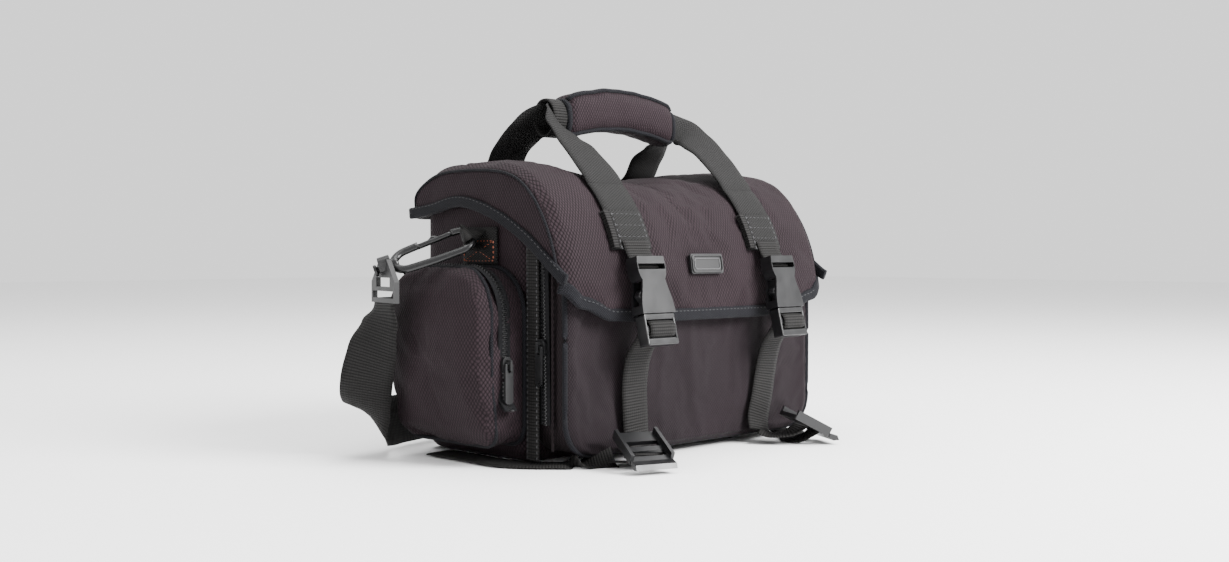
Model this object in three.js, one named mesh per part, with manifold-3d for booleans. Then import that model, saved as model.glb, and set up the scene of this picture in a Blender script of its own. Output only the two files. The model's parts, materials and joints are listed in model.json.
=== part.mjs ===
// A soft camera bag: padded main compartment with dividers, front pocket, two side pockets,
// a hooded lid held by two side-release buckles, a two-strap carrying handle with a padded grip,
// bottom ladder locks and a shoulder strap on snap hooks.
// Millimetres. +X is the bag's right, -Y its front, +Z up. The origin is the middle of the base.
import * as THREE from 'three';
import { mergeVertices } from 'three/addons/utils/BufferGeometryUtils.js';
import Module from 'manifold-3d';

const wasm = await Module();
wasm.setup();

// ---------------------------------------------------------------- driving dimensions
const BODY_W = 280;          // main compartment, outside width
const BODY_D = 124;          // main compartment, outside depth
const BODY_TOP = 188;        // top edge of the main compartment's walls
const SHELL_WALL = 5;        // outer fabric with its foam
const LINER_WALL = 3;
const EDGE_R = 12;           // rounding of the base edges
const CORNER_R = 16;         // rounding of the upright corners
const GAP = 0.4;             // clearance between pieces that touch

const POCKET_D = 38;         // front pocket, front to back
const POCKET_W = 274;
const POCKET_TOP = 160;
const POCKET_WALL = 4;

const SIDE_W = 50;           // side pocket, how far it stands out
const SIDE_Y0 = -60;
const SIDE_Y1 = 46;
const SIDE_Z0 = 14;
const SIDE_Z1 = 139;
const SIDE_WALL = 3;
const SIDE_COVER = 20;       // depth of the zipped cover

const LID_W = 292;
const LID_WALL = 3;
const HINGE_Y = BODY_D / 2 + GAP + LID_WALL;
const HINGE_Z = 174;
const HEM_FRONT = 101;       // height of the lid's front hem
const HEM_CORNER = 118;      // height of the hem at the front corners

const STRAP_X = 75;          // buckle straps, left and right of the middle
const WIDE_WEB = 36;         // webbing of the handle and lid straps
const NARROW_WEB = 25;       // webbing of the buckles
const SHOULDER_WEB = 38;
const WEB_T = 2;             // thickness of all webbing
const PANEL_Y = -(BODY_D / 2 + POCKET_D);       // front face of the front pocket

const BUCKLE_TILT = 0.24;    // radians, the buckle's lower end leans forward
const BUCKLE_TOP = [-107.5, 146];               // y and z of the buckle's upper end
const FEMALE_L = 41;
const FEMALE_W = 33;
const FEMALE_T = 11;
const PLUG_L = 22;
const PRONG_L = 18;

// ---------------------------------------------------------------- colours
const look = (color, roughness, metalness = 0) =>
  new THREE.MeshStandardMaterial({ color, roughness, metalness });
const FABRIC = () => look(0x40363a, 0.85);
const WEBBING = () => look(0x232224, 0.8);
const BINDING = () => look(0x24252c, 0.8);
const PLASTIC = () => look(0x1c1d1f, 0.4);
const LINING = () => look(0x55504f, 0.9);
const FOAM = () => look(0x3a3838, 0.9);
const METAL = () => look(0x3b3b3d, 0.35, 0.8);

// ---------------------------------------------------------------- solids and booleans
function solid(geometry) {
  const g = geometry.clone();
  g.deleteAttribute('normal');
  g.deleteAttribute('uv');
  const m = mergeVertices(g, 1e-4);
  return new wasm.Manifold(new wasm.Mesh({
    numProp: 3,
    vertProperties: new Float32Array(m.attributes.position.array),
    triVerts: new Uint32Array(m.index.array),
  }));
}

function geometryOf(manifold) {
  const mesh = manifold.getMesh();
  const g = new THREE.BufferGeometry();
  g.setAttribute('position', new THREE.BufferAttribute(mesh.vertProperties, 3));
  g.setIndex(new THREE.BufferAttribute(mesh.triVerts, 1));
  return g;
}

const box = (x0, x1, y0, y1, z0, z1) =>
  solid(new THREE.BoxGeometry(x1 - x0, y1 - y0, z1 - z0)
    .translate((x0 + x1) / 2, (y0 + y1) / 2, (z0 + z1) / 2));

function prism(shape, depth, u, v, origin, segments = 6) {
  const g = new THREE.ExtrudeGeometry(shape, { depth, bevelEnabled: false, curveSegments: segments });
  const [a, b] = [new THREE.Vector3(...u), new THREE.Vector3(...v)];
  const c = a.clone().cross(b);
  g.applyMatrix4(new THREE.Matrix4().makeBasis(a, b, c).setPosition(...origin));
  return solid(g);
}

// a shape drawn in (y, z) and pulled along x; in (x, z) along y; in (x, y) along z
const prismX = (shape, x0, x1, n) => prism(shape, x1 - x0, [0, 1, 0], [0, 0, 1], [x0, 0, 0], n);
const prismY = (shape, y0, y1, n) => prism(shape, y1 - y0, [1, 0, 0], [0, 0, 1], [0, y1, 0], n);
const prismZ = (shape, z0, z1, n) => prism(shape, z1 - z0, [1, 0, 0], [0, 1, 0], [0, 0, z0], n);

const outline = (points) => new THREE.Shape(points.map(([u, v]) => new THREE.Vector2(u, v)));

function smooth(points, count) {
  const curve = new THREE.SplineCurve(points.map(([u, v]) => new THREE.Vector2(u, v)));
  return curve.getPoints(count).map((p) => [p.x, p.y]);
}

// a rectangle with its own radius at each corner, from the lower left anticlockwise
function rounded(u0, u1, v0, v1, radii) {
  const [a, b, c, d] = radii;
  const s = new THREE.Shape();
  s.moveTo(u0 + a, v0);
  s.lineTo(u1 - b, v0);
  if (b) s.absarc(u1 - b, v0 + b, b, -Math.PI / 2, 0, false);
  s.lineTo(u1, v1 - c);
  if (c) s.absarc(u1 - c, v1 - c, c, 0, Math.PI / 2, false);
  s.lineTo(u0 + d, v1);
  if (d) s.absarc(u0 + d, v1 - d, d, Math.PI / 2, Math.PI, false);
  s.lineTo(u0, v0 + a);
  if (a) s.absarc(u0 + a, v0 + a, a, Math.PI, Math.PI * 1.5, false);
  return s;
}

// a box with rounded upright corners and rounded base edges
function softBox(x0, x1, y0, y1, z0, z1, corner, edge) {
  const plan = prismZ(rounded(x0, x1, y0, y1, [corner, corner, corner, corner]), z0, z1, 5);
  const front = prismY(rounded(x0, x1, z0, z1, [edge, edge, 0, 0]), y0, y1, 5);
  const side = prismX(rounded(y0, y1, z0, z1, [edge, edge, 0, 0]), x0, x1, 5);
  return plan.intersect(front).intersect(side);
}

// flat webbing whose middle line is drawn in (y, z), with a constant x
function webInPlane(points, x, width, thickness = WEB_T) {
  const left = [];
  const right = [];
  points.forEach((p, i) => {
    const before = points[Math.max(i - 1, 0)];
    const after = points[Math.min(i + 1, points.length - 1)];
    const du = after[0] - before[0];
    const dv = after[1] - before[1];
    const n = Math.hypot(du, dv);
    const off = thickness / 2;
    left.push([p[0] - dv / n * off, p[1] + du / n * off]);
    right.push([p[0] + dv / n * off, p[1] - du / n * off]);
  });
  return prismX(outline([...right, ...left.reverse()]), x - width / 2, x + width / 2);
}

// flat webbing through stations {p: point, w: direction across, width}
function webThrough(stations, steps, thickness = WEB_T) {
  const at = (key) => new THREE.CatmullRomCurve3(stations.map((s) => new THREE.Vector3(...s[key])));
  const line = at('p');
  const across = at('w');
  const positions = [];
  const index = [];
  for (let i = 0; i <= steps; i += 1) {
    const t = i / steps;
    const p = line.getPoint(t);
    const along = line.getTangent(t);
    const w = across.getPoint(t);
    w.addScaledVector(along, -w.dot(along)).normalize();
    const n = along.clone().cross(w).multiplyScalar(thickness / 2);
    const k = t * (stations.length - 1);
    const a = stations[Math.floor(k)].width;
    const b = stations[Math.min(Math.floor(k) + 1, stations.length - 1)].width;
    w.multiplyScalar(THREE.MathUtils.lerp(a, b, k - Math.floor(k)) / 2);
    for (const [sw, sn] of [[-1, -1], [1, -1], [1, 1], [-1, 1]]) {
      const q = p.clone().addScaledVector(w, sw).addScaledVector(n, sn);
      positions.push(q.x, q.y, q.z);
    }
    if (i < steps) {
      for (let e = 0; e < 4; e += 1) {
        const [c, d] = [4 * i + e, 4 * i + (e + 1) % 4];
        index.push(c, d, d + 4, c, d + 4, c + 4);
      }
    }
  }
  const last = 4 * steps;
  index.push(0, 2, 1, 0, 3, 2, last, last + 1, last + 2, last, last + 2, last + 3);
  return new wasm.Manifold(new wasm.Mesh({
    numProp: 3, vertProperties: new Float32Array(positions), triVerts: new Uint32Array(index),
  }));
}

const bag = new THREE.Group();
function add(name, manifold, material, parent = bag) {
  const mesh = new THREE.Mesh(geometryOf(manifold), material);
  mesh.name = name;
  parent.add(mesh);
  return mesh;
}
const mirrorX = (manifold) => manifold.mirror([1, 0, 0]);
const SIDES = [['left', -1], ['right', 1]];

// ---------------------------------------------------------------- main compartment
const halfW = BODY_W / 2;
const halfD = BODY_D / 2;
const shellOuter = softBox(-halfW, halfW, -halfD, halfD, 0, BODY_TOP, CORNER_R, EDGE_R);
const inset = (d, z) => softBox(-halfW + d, halfW - d, -halfD + d, halfD - d, z, BODY_TOP + 9,
  CORNER_R - d * 0.7, EDGE_R - d * 0.7);
add('main_shell', shellOuter.subtract(inset(SHELL_WALL, 5)), FABRIC());

const boardZ = 5 + GAP;
const BOARD_T = 3;
add('base_board', prismZ(rounded(-halfW + 14, halfW - 14, -halfD + 14, halfD - 14, [6, 6, 6, 6]),
  boardZ, boardZ + BOARD_T), FOAM());

const linerD = SHELL_WALL + GAP;
const linerZ = boardZ + BOARD_T + GAP;
const linerOuter = softBox(-halfW + linerD, halfW - linerD, -halfD + linerD, halfD - linerD,
  linerZ, BODY_TOP - 4, CORNER_R - 3, EDGE_R - 6);
const innerX = halfW - linerD - LINER_WALL;
const innerY = halfD - linerD - LINER_WALL;
const innerZ = linerZ + LINER_WALL;
add('padded_liner', linerOuter.subtract(softBox(-innerX, innerX, -innerY, innerY, innerZ,
  BODY_TOP + 9, CORNER_R - 6, 4)), LINING());

const DIVIDER_T = 9;
const DIVIDER_TOP = 150;
const DIVIDER_X = 46;
const dividerY = innerY - GAP;
for (const [side, sign] of SIDES) {
  add(`divider_${side}`, prismX(rounded(-dividerY, dividerY, innerZ + GAP, DIVIDER_TOP, [6, 6, 10, 10]),
    sign * DIVIDER_X - DIVIDER_T / 2, sign * DIVIDER_X + DIVIDER_T / 2), FOAM());
}
const shelfX0 = DIVIDER_X + DIVIDER_T / 2 + GAP;
add('short_divider', prismY(rounded(shelfX0, innerX - GAP, innerZ + GAP, 118, [6, 6, 10, 10]), -4, 4),
  FOAM());

// ---------------------------------------------------------------- front pocket
const pocketHalf = POCKET_W / 2;
const pocketBack = -halfD - GAP;
const POCKET_Z0 = 7;
function pocketBody(d, top) {
  const front = PANEL_Y + d;
  const back = pocketBack - d;
  const low = POCKET_Z0 + d;
  const face = prismY(rounded(-pocketHalf + d, pocketHalf - d, low, top, [26 - d, 26 - d, 0, 0]),
    front, back, 8);
  const profile = [[front + 8, low], [back - 4, low], [back, low + 5], [back, top], [front + 10, top],
    [front + 9, POCKET_TOP], [front + 3, 145], [front, 128], [front, low + 8], [front + 2.4, low + 2.4]];
  return face.intersect(prismX(outline(profile), -pocketHalf, pocketHalf));
}
add('front_pocket', pocketBody(0, POCKET_TOP).subtract(pocketBody(POCKET_WALL, POCKET_TOP + 9)), FABRIC());

// the pocket's zipper runs up each gusset, ending above the fold of the panel
const ZIP_W = 11;
const ZIP_T = 1.6;
const zipY = (PANEL_Y + pocketBack) / 2 + 4;
const ZIP_Z0 = 84;
for (const [side, sign] of SIDES) {
  const x = sign * (pocketHalf + GAP + ZIP_T / 2);
  const half = ZIP_T / 2;
  add(`front_zipper_${side}`, box(x - half, x + half, zipY - ZIP_W / 2, zipY + ZIP_W / 2,
    ZIP_Z0 - 8, POCKET_TOP - 4), BINDING());
}

// a zip slider lying on a tape whose outward normal is +x, and its pull on the slider's bridge
const SLIDER_L = 11;
const SLIDER_W = 8;
const SLIDER_T = 2.4;
const PULL_L = 27;
const PULL_W = 7;
const PULL_T = 1.6;
function sliderBody() {
  const plate = prism(rounded(-SLIDER_W / 2, SLIDER_W / 2, -SLIDER_L / 2, SLIDER_L / 2, [2, 2, 3, 3]),
    SLIDER_T, [0, 1, 0], [0, 0, 1], [GAP, 0, 0], 3);
  const bridge = prism(outline([[0, 3.6], [4.4, 3.6], [4.4, -3.6], [0, -3.6], [0, -1.8], [2.8, -1.8],
    [2.8, 1.8], [0, 1.8]]), 1.6, [1, 0, 0], [0, 0, 1], [GAP + SLIDER_T - 0.2, 0.8, 0]);
  return plate.add(bridge);
}
function pullBody() {
  const tag = prism(rounded(-PULL_W / 2, PULL_W / 2, -PULL_L, 0.8, [2.4, 2.4, 1, 1]), PULL_T,
    [0, 1, 0], [0, 0, 1], [0, 0, 0], 3);
  const eye = prism(rounded(-1.5, 1.5, -5.4, -0.8, [0.6, 0.6, 0.6, 0.6]), PULL_T + 2,
    [0, 1, 0], [0, 0, 1], [-1, 0, 0], 2);
  return tag.subtract(eye);
}
// places a slider and its pull; out is +1 or -1, the side that the tape faces
function zipPair(name, x, y, z, out) {
  const flip = (m) => (out < 0 ? mirrorX(m) : m);
  add(`${name}_slider`, flip(sliderBody()).translate([x, y, z]), PLASTIC());
  const lift = out * (GAP + SLIDER_T + 0.5);
  add(`${name}_pull`, flip(pullBody()).translate([x + lift, y, z]), PLASTIC());
}
for (const [side, sign] of SIDES) {
  zipPair(`front_zip_${side}`, sign * (pocketHalf + GAP + ZIP_T), zipY, ZIP_Z0, sign);
}

// ---------------------------------------------------------------- side pockets
const boxX0 = halfW + GAP;
const boxX1 = halfW + SIDE_W - SIDE_COVER;
const coverX0 = boxX1 + GAP;
const coverX1 = halfW + SIDE_W;
const pocketRadii = [14, 14, 22, 34];
const sideShape = (d) => rounded(SIDE_Y0 + d, SIDE_Y1 - d, SIDE_Z0 + d, SIDE_Z1 - d,
  pocketRadii.map((r) => r - d));
const sideGusset = prismX(sideShape(0), boxX0, boxX1, 6)
  .subtract(prismX(sideShape(SIDE_WALL), boxX0 + SIDE_WALL, boxX1 + 1, 6));
const coverTaper = prismY(outline([[coverX0, SIDE_Z0], [coverX1 - 16, SIDE_Z0], [coverX1 - 5, 34],
  [coverX1, 62], [coverX1, 118], [coverX1 - 5, 132], [coverX1 - 12, SIDE_Z1], [coverX0, SIDE_Z1]]),
SIDE_Y0, SIDE_Y1);
const coverPlan = prismZ(rounded(coverX0, coverX1, SIDE_Y0, SIDE_Y1, [0, 12, 12, 0]),
  SIDE_Z0, SIDE_Z1, 5);
const coverHollow = prismX(sideShape(SIDE_WALL), coverX0 - 1, coverX1 - 8, 6)
  .intersect(prismY(outline([[coverX0 - 1, 0], [coverX1 - 20, 0], [coverX1 - 9, 36],
    [coverX1 - 4, 62], [coverX1 - 4, 118], [coverX1 - 10, 200], [coverX0 - 1, 200]]),
  SIDE_Y0, SIDE_Y1));
const sideCover = prismX(sideShape(0), coverX0, coverX1, 6).intersect(coverTaper)
  .intersect(coverPlan).subtract(coverHollow);
const placed = (m, sign) => (sign < 0 ? mirrorX(m) : m);
for (const [side, sign] of SIDES) {
  add(`side_pocket_${side}`, placed(sideGusset, sign), FABRIC());
  add(`side_cover_${side}`, placed(sideCover, sign), FABRIC());
}

// the side zipper's slider stands on the gusset's front face
const sideZipX = boxX1 - 9;
const SIDE_ZIP_Z = 72;
function frontFacing(m) {
  return m.rotate([0, 0, -90]);
}
for (const [side, sign] of SIDES) {
  const x = sign * sideZipX;
  add(`side_zipper_${side}`, box(x - ZIP_W / 2, x + ZIP_W / 2, SIDE_Y0 - GAP - ZIP_T, SIDE_Y0 - GAP,
    SIDE_Z0 + 30, SIDE_Z1 - 26), BINDING());
  const y = SIDE_Y0 - GAP - ZIP_T;
  add(`side_zip_${side}_slider`, frontFacing(sliderBody()).translate([x, y, SIDE_ZIP_Z]), PLASTIC());
  add(`side_zip_${side}_pull`, frontFacing(pullBody())
    .translate([x, y - GAP - SLIDER_T - 0.5, SIDE_ZIP_Z]), PLASTIC());
}

// ---------------------------------------------------------------- lid
const lidBack = HINGE_Y;
const LID_TOP = 215;
const frontLine = [[-107.5, HEM_FRONT - 4], [-106.5, 118], [-103.5, 140], [-97, 161], [-87, 180],
  [-73, 197], [-54, 209], [-24, LID_TOP], [24, LID_TOP], [48, 208]];
const lidOutline = [[lidBack, HINGE_Z + 1], [lidBack, 195], ...smooth(frontLine.slice().reverse(), 30)];
function insetLine(points, d) {
  return points.map((p, i) => {
    const a = points[Math.max(i - 1, 0)];
    const b = points[Math.min(i + 1, points.length - 1)];
    const n = Math.hypot(b[0] - a[0], b[1] - a[1]);
    return [p[0] - (b[1] - a[1]) / n * d, p[1] + (b[0] - a[0]) / n * d];
  });
}
const lidInside = insetLine(lidOutline, LID_WALL);
const close = (line, low) => [...line, [line[line.length - 1][0], low], [line[0][0], low]];
const lidHalf = LID_W / 2;
const lidOuter = prismX(outline(close(lidOutline, 60)), -lidHalf, lidHalf);
const lidInner = prismX(outline(close(lidInside, 50)), -lidHalf + LID_WALL, lidHalf - LID_WALL);
const hemLine = smooth([[lidBack + 4, HINGE_Z + 1], [40, 178], [6, 183], [-31, 174], [-67, 156],
  [-101, 131], [-120, HEM_CORNER]], 20);
const keepSides = prismX(outline([...hemLine.slice().reverse(), [lidBack + 4, 260], [-120, 260]]),
  -lidHalf - 5, lidHalf + 5);
const frontFlap = prismY(outline([[-lidHalf - 5, 128], ...smooth([[-lidHalf, 124], [-128, 113],
  [-100, HEM_FRONT + 1.5], [-60, HEM_FRONT], [0, HEM_FRONT], [60, HEM_FRONT],
  [100, HEM_FRONT + 1.5], [128, 113], [lidHalf, 124]], 24), [lidHalf + 5, 128], [lidHalf + 5, 150],
[-lidHalf - 5, 150]]), -118, -97);
const shellOfLid = lidOuter.subtract(lidInner);
const lidHood = shellOfLid.intersect(keepSides.add(frontFlap));
add('lid', lidHood, FABRIC());

// a blank rubber badge lying on the lid's front, leaning with it
const BADGE_HALF = [18, 7.5];
const BADGE_T = 2.2;
const BADGE_TILT = BUCKLE_TILT * 0.6;
const BADGE_AT = [0, -104.4, 141];
add('badge', prism(rounded(-BADGE_HALF[0], BADGE_HALF[0], -BADGE_HALF[1], BADGE_HALF[1], [2, 2, 2, 2]),
  BADGE_T, [1, 0, 0], [0, Math.sin(BADGE_TILT), Math.cos(BADGE_TILT)], BADGE_AT, 3), look(0x17181a, 0.5));

// ---------------------------------------------------------------- buckles
// drawn hanging down from the origin, their front towards -y, then tilted and placed
const RADIANS = 180 / Math.PI;
const toBuckle = (m, sign) => m.rotate([-BUCKLE_TILT * RADIANS, 0, 0])
  .translate([sign * STRAP_X, BUCKLE_TOP[0] - FEMALE_T / 2, BUCKLE_TOP[1]]);
const SOCKET_SIDE = 1.3;     // side walls of the socket; the prongs' ledges slide past them
const SOCKET_FACE = 1.8;     // front and back walls of the socket
const WINDOW_LOW = -35;      // lower end of the side windows
function femaleBody() {
  const half = FEMALE_W / 2;
  const shape = new THREE.Shape();
  shape.moveTo(-half + 3, 0);
  shape.bezierCurveTo(-half + 1, -10, -half + 3, -14, -half + 5, -17);
  shape.bezierCurveTo(-half + 3.5, -26, -half, -30, -half, -FEMALE_L);
  shape.lineTo(half, -FEMALE_L);
  shape.bezierCurveTo(half, -30, half - 3.5, -26, half - 5, -17);
  shape.bezierCurveTo(half - 3, -14, half - 1, -10, half - 3, 0);
  const body = prismY(shape, -FEMALE_T / 2, FEMALE_T / 2, 6);
  const face = FEMALE_T / 2 - SOCKET_FACE;
  const socket = box(-half + SOCKET_SIDE, half - SOCKET_SIDE, -face, face, -FEMALE_L - 1, -19);
  const windows = box(-half - 5, half + 5, -face, face, WINDOW_LOW, -18);
  const slot = box(-NARROW_WEB / 2 - 1, NARROW_WEB / 2 + 1, -FEMALE_T, FEMALE_T, -9.5, -5.5);
  return body.subtract(socket).subtract(windows).subtract(slot);
}
function plugBody() {
  const half = FEMALE_W / 2;
  const top = -FEMALE_L - GAP;
  const plate = box(-half + 1, half - 1, -4.6, 4.6, top - PLUG_L, top);
  const slot = (z) => box(-NARROW_WEB / 2 - 1, NARROW_WEB / 2 + 1, -9, 9, z - 4.2, z);
  const tongue = box(-2, 2, -1.6, 1.6, top - 1, top + 15);
  return plate.subtract(slot(top - 4)).subtract(slot(top - 13)).add(tongue);
}
const PRONG_X = 9.5;
function prongBody() {
  const root = -FEMALE_L - GAP + 0.4;
  const shape = outline([[PRONG_X - 2, root], [PRONG_X + 1.6, root], [PRONG_X + 2.4, root + 9.5],
    [PRONG_X + 5.4, root + 13], [PRONG_X + 4.4, root + PRONG_L - 3], [PRONG_X + 1, root + PRONG_L],
    [PRONG_X - 1.6, root + PRONG_L - 2], [PRONG_X - 0.6, root + 8]]);
  return prismY(shape, -3, 3);
}
for (const [side, sign] of SIDES) {
  add(`buckle_socket_${side}`, toBuckle(femaleBody(), sign), PLASTIC());
  add(`buckle_plug_${side}`, toBuckle(plugBody(), sign), PLASTIC());
  add(`buckle_prong_${side}_a`, toBuckle(mirrorX(prongBody()), sign), PLASTIC());
  add(`buckle_prong_${side}_b`, toBuckle(prongBody(), sign), PLASTIC());
}

// ---------------------------------------------------------------- straps on the lid and front
const off = WEB_T / 2 + GAP;
const outside = (line, d) => insetLine(line, -d);
const lidRun = smooth(frontLine, 60);
const strapOnLid = lidRun.filter(([, z]) => z > BUCKLE_TOP[1] + 3 && z < 198);
const strapLine = outside(strapOnLid.slice().reverse(), off + 0.3);
const dropTop = strapLine[strapLine.length - 1];
for (const [side, sign] of SIDES) {
  add(`lid_strap_${side}`, webInPlane([...strapLine, [dropTop[0] - 1.6, BUCKLE_TOP[1] + 1.5]],
    sign * STRAP_X, WIDE_WEB, WEB_T), WEBBING());
}

const plugFoot = (() => {
  const z = -(FEMALE_L + GAP + PLUG_L + 1);
  const [c, s] = [Math.cos(BUCKLE_TILT), Math.sin(BUCKLE_TILT)];
  return [BUCKLE_TOP[0] - FEMALE_T / 2 + z * s, BUCKLE_TOP[1] + z * c];
})();
const strapY = PANEL_Y - off;
const lowerLine = [plugFoot, ...smooth([[plugFoot[0] + 3, plugFoot[1] - 8], [strapY - 3, 60],
  [strapY - 1, 38], [strapY - 0.5, 20], [strapY - 4, 12]], 12)];
for (const [side, sign] of SIDES) {
  add(`lower_strap_${side}`, webInPlane(lowerLine, sign * STRAP_X, NARROW_WEB), WEBBING());
}

// ---------------------------------------------------------------- bottom ladder locks
// drawn flat on the ground around the origin, webbing running along y
function ladderLock() {
  const [w, l, t] = [16.5, 17, 3.2];
  const frame = prismZ(rounded(-w, w, -l, l, [5, 5, 2, 2]), 1.2, 1.2 + t, 4);
  const slot = (y) => box(-NARROW_WEB / 2 - 0.8, NARROW_WEB / 2 + 0.8, y - 3, y + 3, 0, 10);
  const lip = prismX(outline([[-l + 1, 1.2], [-l - 4, 0.5], [-l - 8, 3], [-l - 5, 5.5], [-l + 1, 4.4]]),
    -w + 1, w - 1);
  const cheek = (x) => box(x - 1.3, x + 1.3, -l + 2, l - 1, 1.2, 8.6);
  return frame.subtract(slot(-8)).subtract(slot(3)).add(lip).add(cheek(-w + 1.3)).add(cheek(w - 1.3));
}
const LOCK = {
  left: { x: -97, y: -132, turn: 20 },
  right: { x: 86, y: -132, turn: -60 },
};
const LOCK_PITCH = 28;
const LOCK_LIFT = 12.6;
for (const [side] of SIDES) {
  const { x, y, turn } = LOCK[side];
  add(`ladder_lock_${side}`, ladderLock().rotate([LOCK_PITCH, 0, 0]).rotate([0, 0, -turn])
    .translate([x, y, LOCK_LIFT]), PLASTIC());
}
const ON_GROUND = WEB_T / 2 + 0.3;
const flat = (x, y, wx, wy) => ({ p: [x, y, ON_GROUND], w: [wx, wy, 0], width: NARROW_WEB });
add('strap_tail_left', webThrough([flat(-98, -106, 0.75, -0.66), flat(-126, -86, 0.75, -0.66),
  flat(-150, -56, 1, -0.2), flat(-152, -20, 1, 0), flat(-152, 22, 1, 0)], 14), WEBBING());
add('strap_tail_right', webThrough([flat(108, -106, 0.8, -0.6), flat(120, -92, 0.8, -0.6),
  flat(132, -76, 0.8, -0.6)], 4), WEBBING());

// ---------------------------------------------------------------- carrying handle
const GRIP_HALF = 59;
const GRIP_Y = -6;
const gripLine = (x) => 262 - 9 * (x / GRIP_HALF) ** 2;
const gripSection = rounded(-15, 15, -16, 16, [13, 13, 13, 13]);
const gripPath = new THREE.CatmullRomCurve3([-1, -0.5, 0, 0.5, 1].map((k) =>
  new THREE.Vector3(k * GRIP_HALF, GRIP_Y, gripLine(k * GRIP_HALF))));
add('handle_grip', solid(new THREE.ExtrudeGeometry(gripSection,
  { steps: 12, bevelEnabled: false, curveSegments: 3, extrudePath: gripPath })), FABRIC());

const LEG_STEPS = 14;
const onLid = (y) => lidRun.reduce((best, p) => (Math.abs(p[0] - y) < Math.abs(best[0] - y) ? p : best));
const strapStart = strapLine[0];
const rearFoot = onLid(42);
for (const [side, sign] of SIDES) {
  const at = (x, y, z, w, width) => ({ p: [sign * x, y, z], w: [sign * w[0], w[1], w[2]], width });
  add(`handle_front_leg_${side}`, webThrough([
    at(GRIP_HALF + 5, GRIP_Y - 6, 254, [0, 0.25, 0.97], 22),
    at(GRIP_HALF + 11, GRIP_Y - 9, 251, [0.2, 0.4, 0.9], 24),
    at(GRIP_HALF + 16, GRIP_Y - 20, 243, [0.8, 0.2, 0.5], 30),
    at(STRAP_X, -48, 228, [1, 0, 0], WIDE_WEB),
    at(STRAP_X, strapStart[0] + 6, strapStart[1] + 8, [1, 0, 0], WIDE_WEB),
    at(STRAP_X, strapStart[0] + 0.6, strapStart[1] + 1.6, [1, 0, 0], WIDE_WEB),
  ], LEG_STEPS), WEBBING());
  add(`handle_rear_leg_${side}`, webThrough([
    at(GRIP_HALF + 5, GRIP_Y + 6, 254, [0, -0.25, 0.97], 22),
    at(GRIP_HALF + 11, GRIP_Y + 9, 251, [0.2, -0.4, 0.9], 24),
    at(GRIP_HALF + 16, GRIP_Y + 20, 243, [0.8, -0.2, 0.4], 30),
    at(STRAP_X + 2, 30, 229, [1, 0, 0], WIDE_WEB),
    at(STRAP_X + 2, rearFoot[0] - 3, rearFoot[1] + 4.5, [1, 0, 0], WIDE_WEB),
    at(STRAP_X + 2, rearFoot[0] + 6, rearFoot[1] - 0.5, [1, 0, 0], WIDE_WEB),
  ], LEG_STEPS), WEBBING());
}

// ---------------------------------------------------------------- snap hooks on the side tabs
const TAB_Y = -12;
const TAB_X = halfW + GAP;
const LOOP_Y = -24;
const LOOP_Z = 161;
const HOOK_TURN = 40;        // degrees that the hook swings towards the back
const HOOK_TILT = 18;        // degrees that it slopes down
const HOOK_L = 60;
const HOOK_HALF = 12.5;
const HOOK_BAR = 4;
const HOOK_T = 4.5;
const LOOP_OUT = 12.5;       // from the wall to the middle of the webbing loop's eye
const GATE_END = -10.5;
const GATE_PIVOT = -34;

function tabBody() {
  const patch = box(-TAB_X - 2.4, -TAB_X, TAB_Y - 19, TAB_Y + 19, 142, 168);
  const ring = prismY(rounded(-19, -4, -7, 7, [6, 1, 1, 6]), -6, 6, 4)
    .subtract(prismY(rounded(-17, -8, -5, 5, [4, 4, 4, 4]), -8, 8, 4));
  const neck = box(-6, 5, -7, 7, -3, 3);
  const loop = ring.add(neck).rotate([0, 0, -HOOK_TURN]).translate([-TAB_X - 2, LOOP_Y, LOOP_Z]);
  return patch.add(loop).subtract(box(-TAB_X, 0, -99, 99, 0, 300));
}
const toHook = (m) => m.translate([HOOK_BAR / 2, 0, 0]).rotate([0, -HOOK_TILT, 0])
  .translate([-LOOP_OUT, 0, 0]).rotate([0, 0, -HOOK_TURN]).translate([-TAB_X - 2, LOOP_Y, LOOP_Z]);
const cylinderX = (r, x0, x1, n = 14) => solid(new THREE.CylinderGeometry(r, r, x1 - x0, n)
  .rotateZ(Math.PI / 2).translate((x0 + x1) / 2, 0, 0));
const PIN_R = 2.2;
function hookBody() {
  const half = HOOK_T / 2;
  const outer = prismZ(rounded(-HOOK_L, 0, -HOOK_HALF, HOOK_HALF, [9, 11, 11, 9]), -half, half, 5);
  const hole = prismZ(rounded(-HOOK_L + 9, -HOOK_BAR, -HOOK_HALF + HOOK_BAR, HOOK_HALF - HOOK_BAR,
    [5, 7, 7, 5]), -half - 1, half + 1, 5);
  const gap = box(GATE_PIVOT - 3.4, GATE_END + 0.4, 0.5, HOOK_HALF + 1, -half - 1, half + 1);
  const pin = cylinderX(PIN_R, -HOOK_L - 15, -HOOK_L + 3);
  const head = cylinderX(4.4, -HOOK_L - 15, -HOOK_L - 12.6);
  return outer.subtract(hole).subtract(gap).add(pin).add(head);
}
function gateBody() {
  const inside = HOOK_HALF - HOOK_BAR;
  return prismZ(rounded(GATE_PIVOT - 3, GATE_END, inside, HOOK_HALF - 0.2, [1.6, 0.6, 0.6, 1.6]),
    -HOOK_T / 2, HOOK_T / 2, 3);
}
const HUB_MID = -HOOK_L - 7.6;
const EYE_TURN = 76;         // degrees about Z from +x to the direction of the eye's slot
const EYE_DROP = 27;
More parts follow.
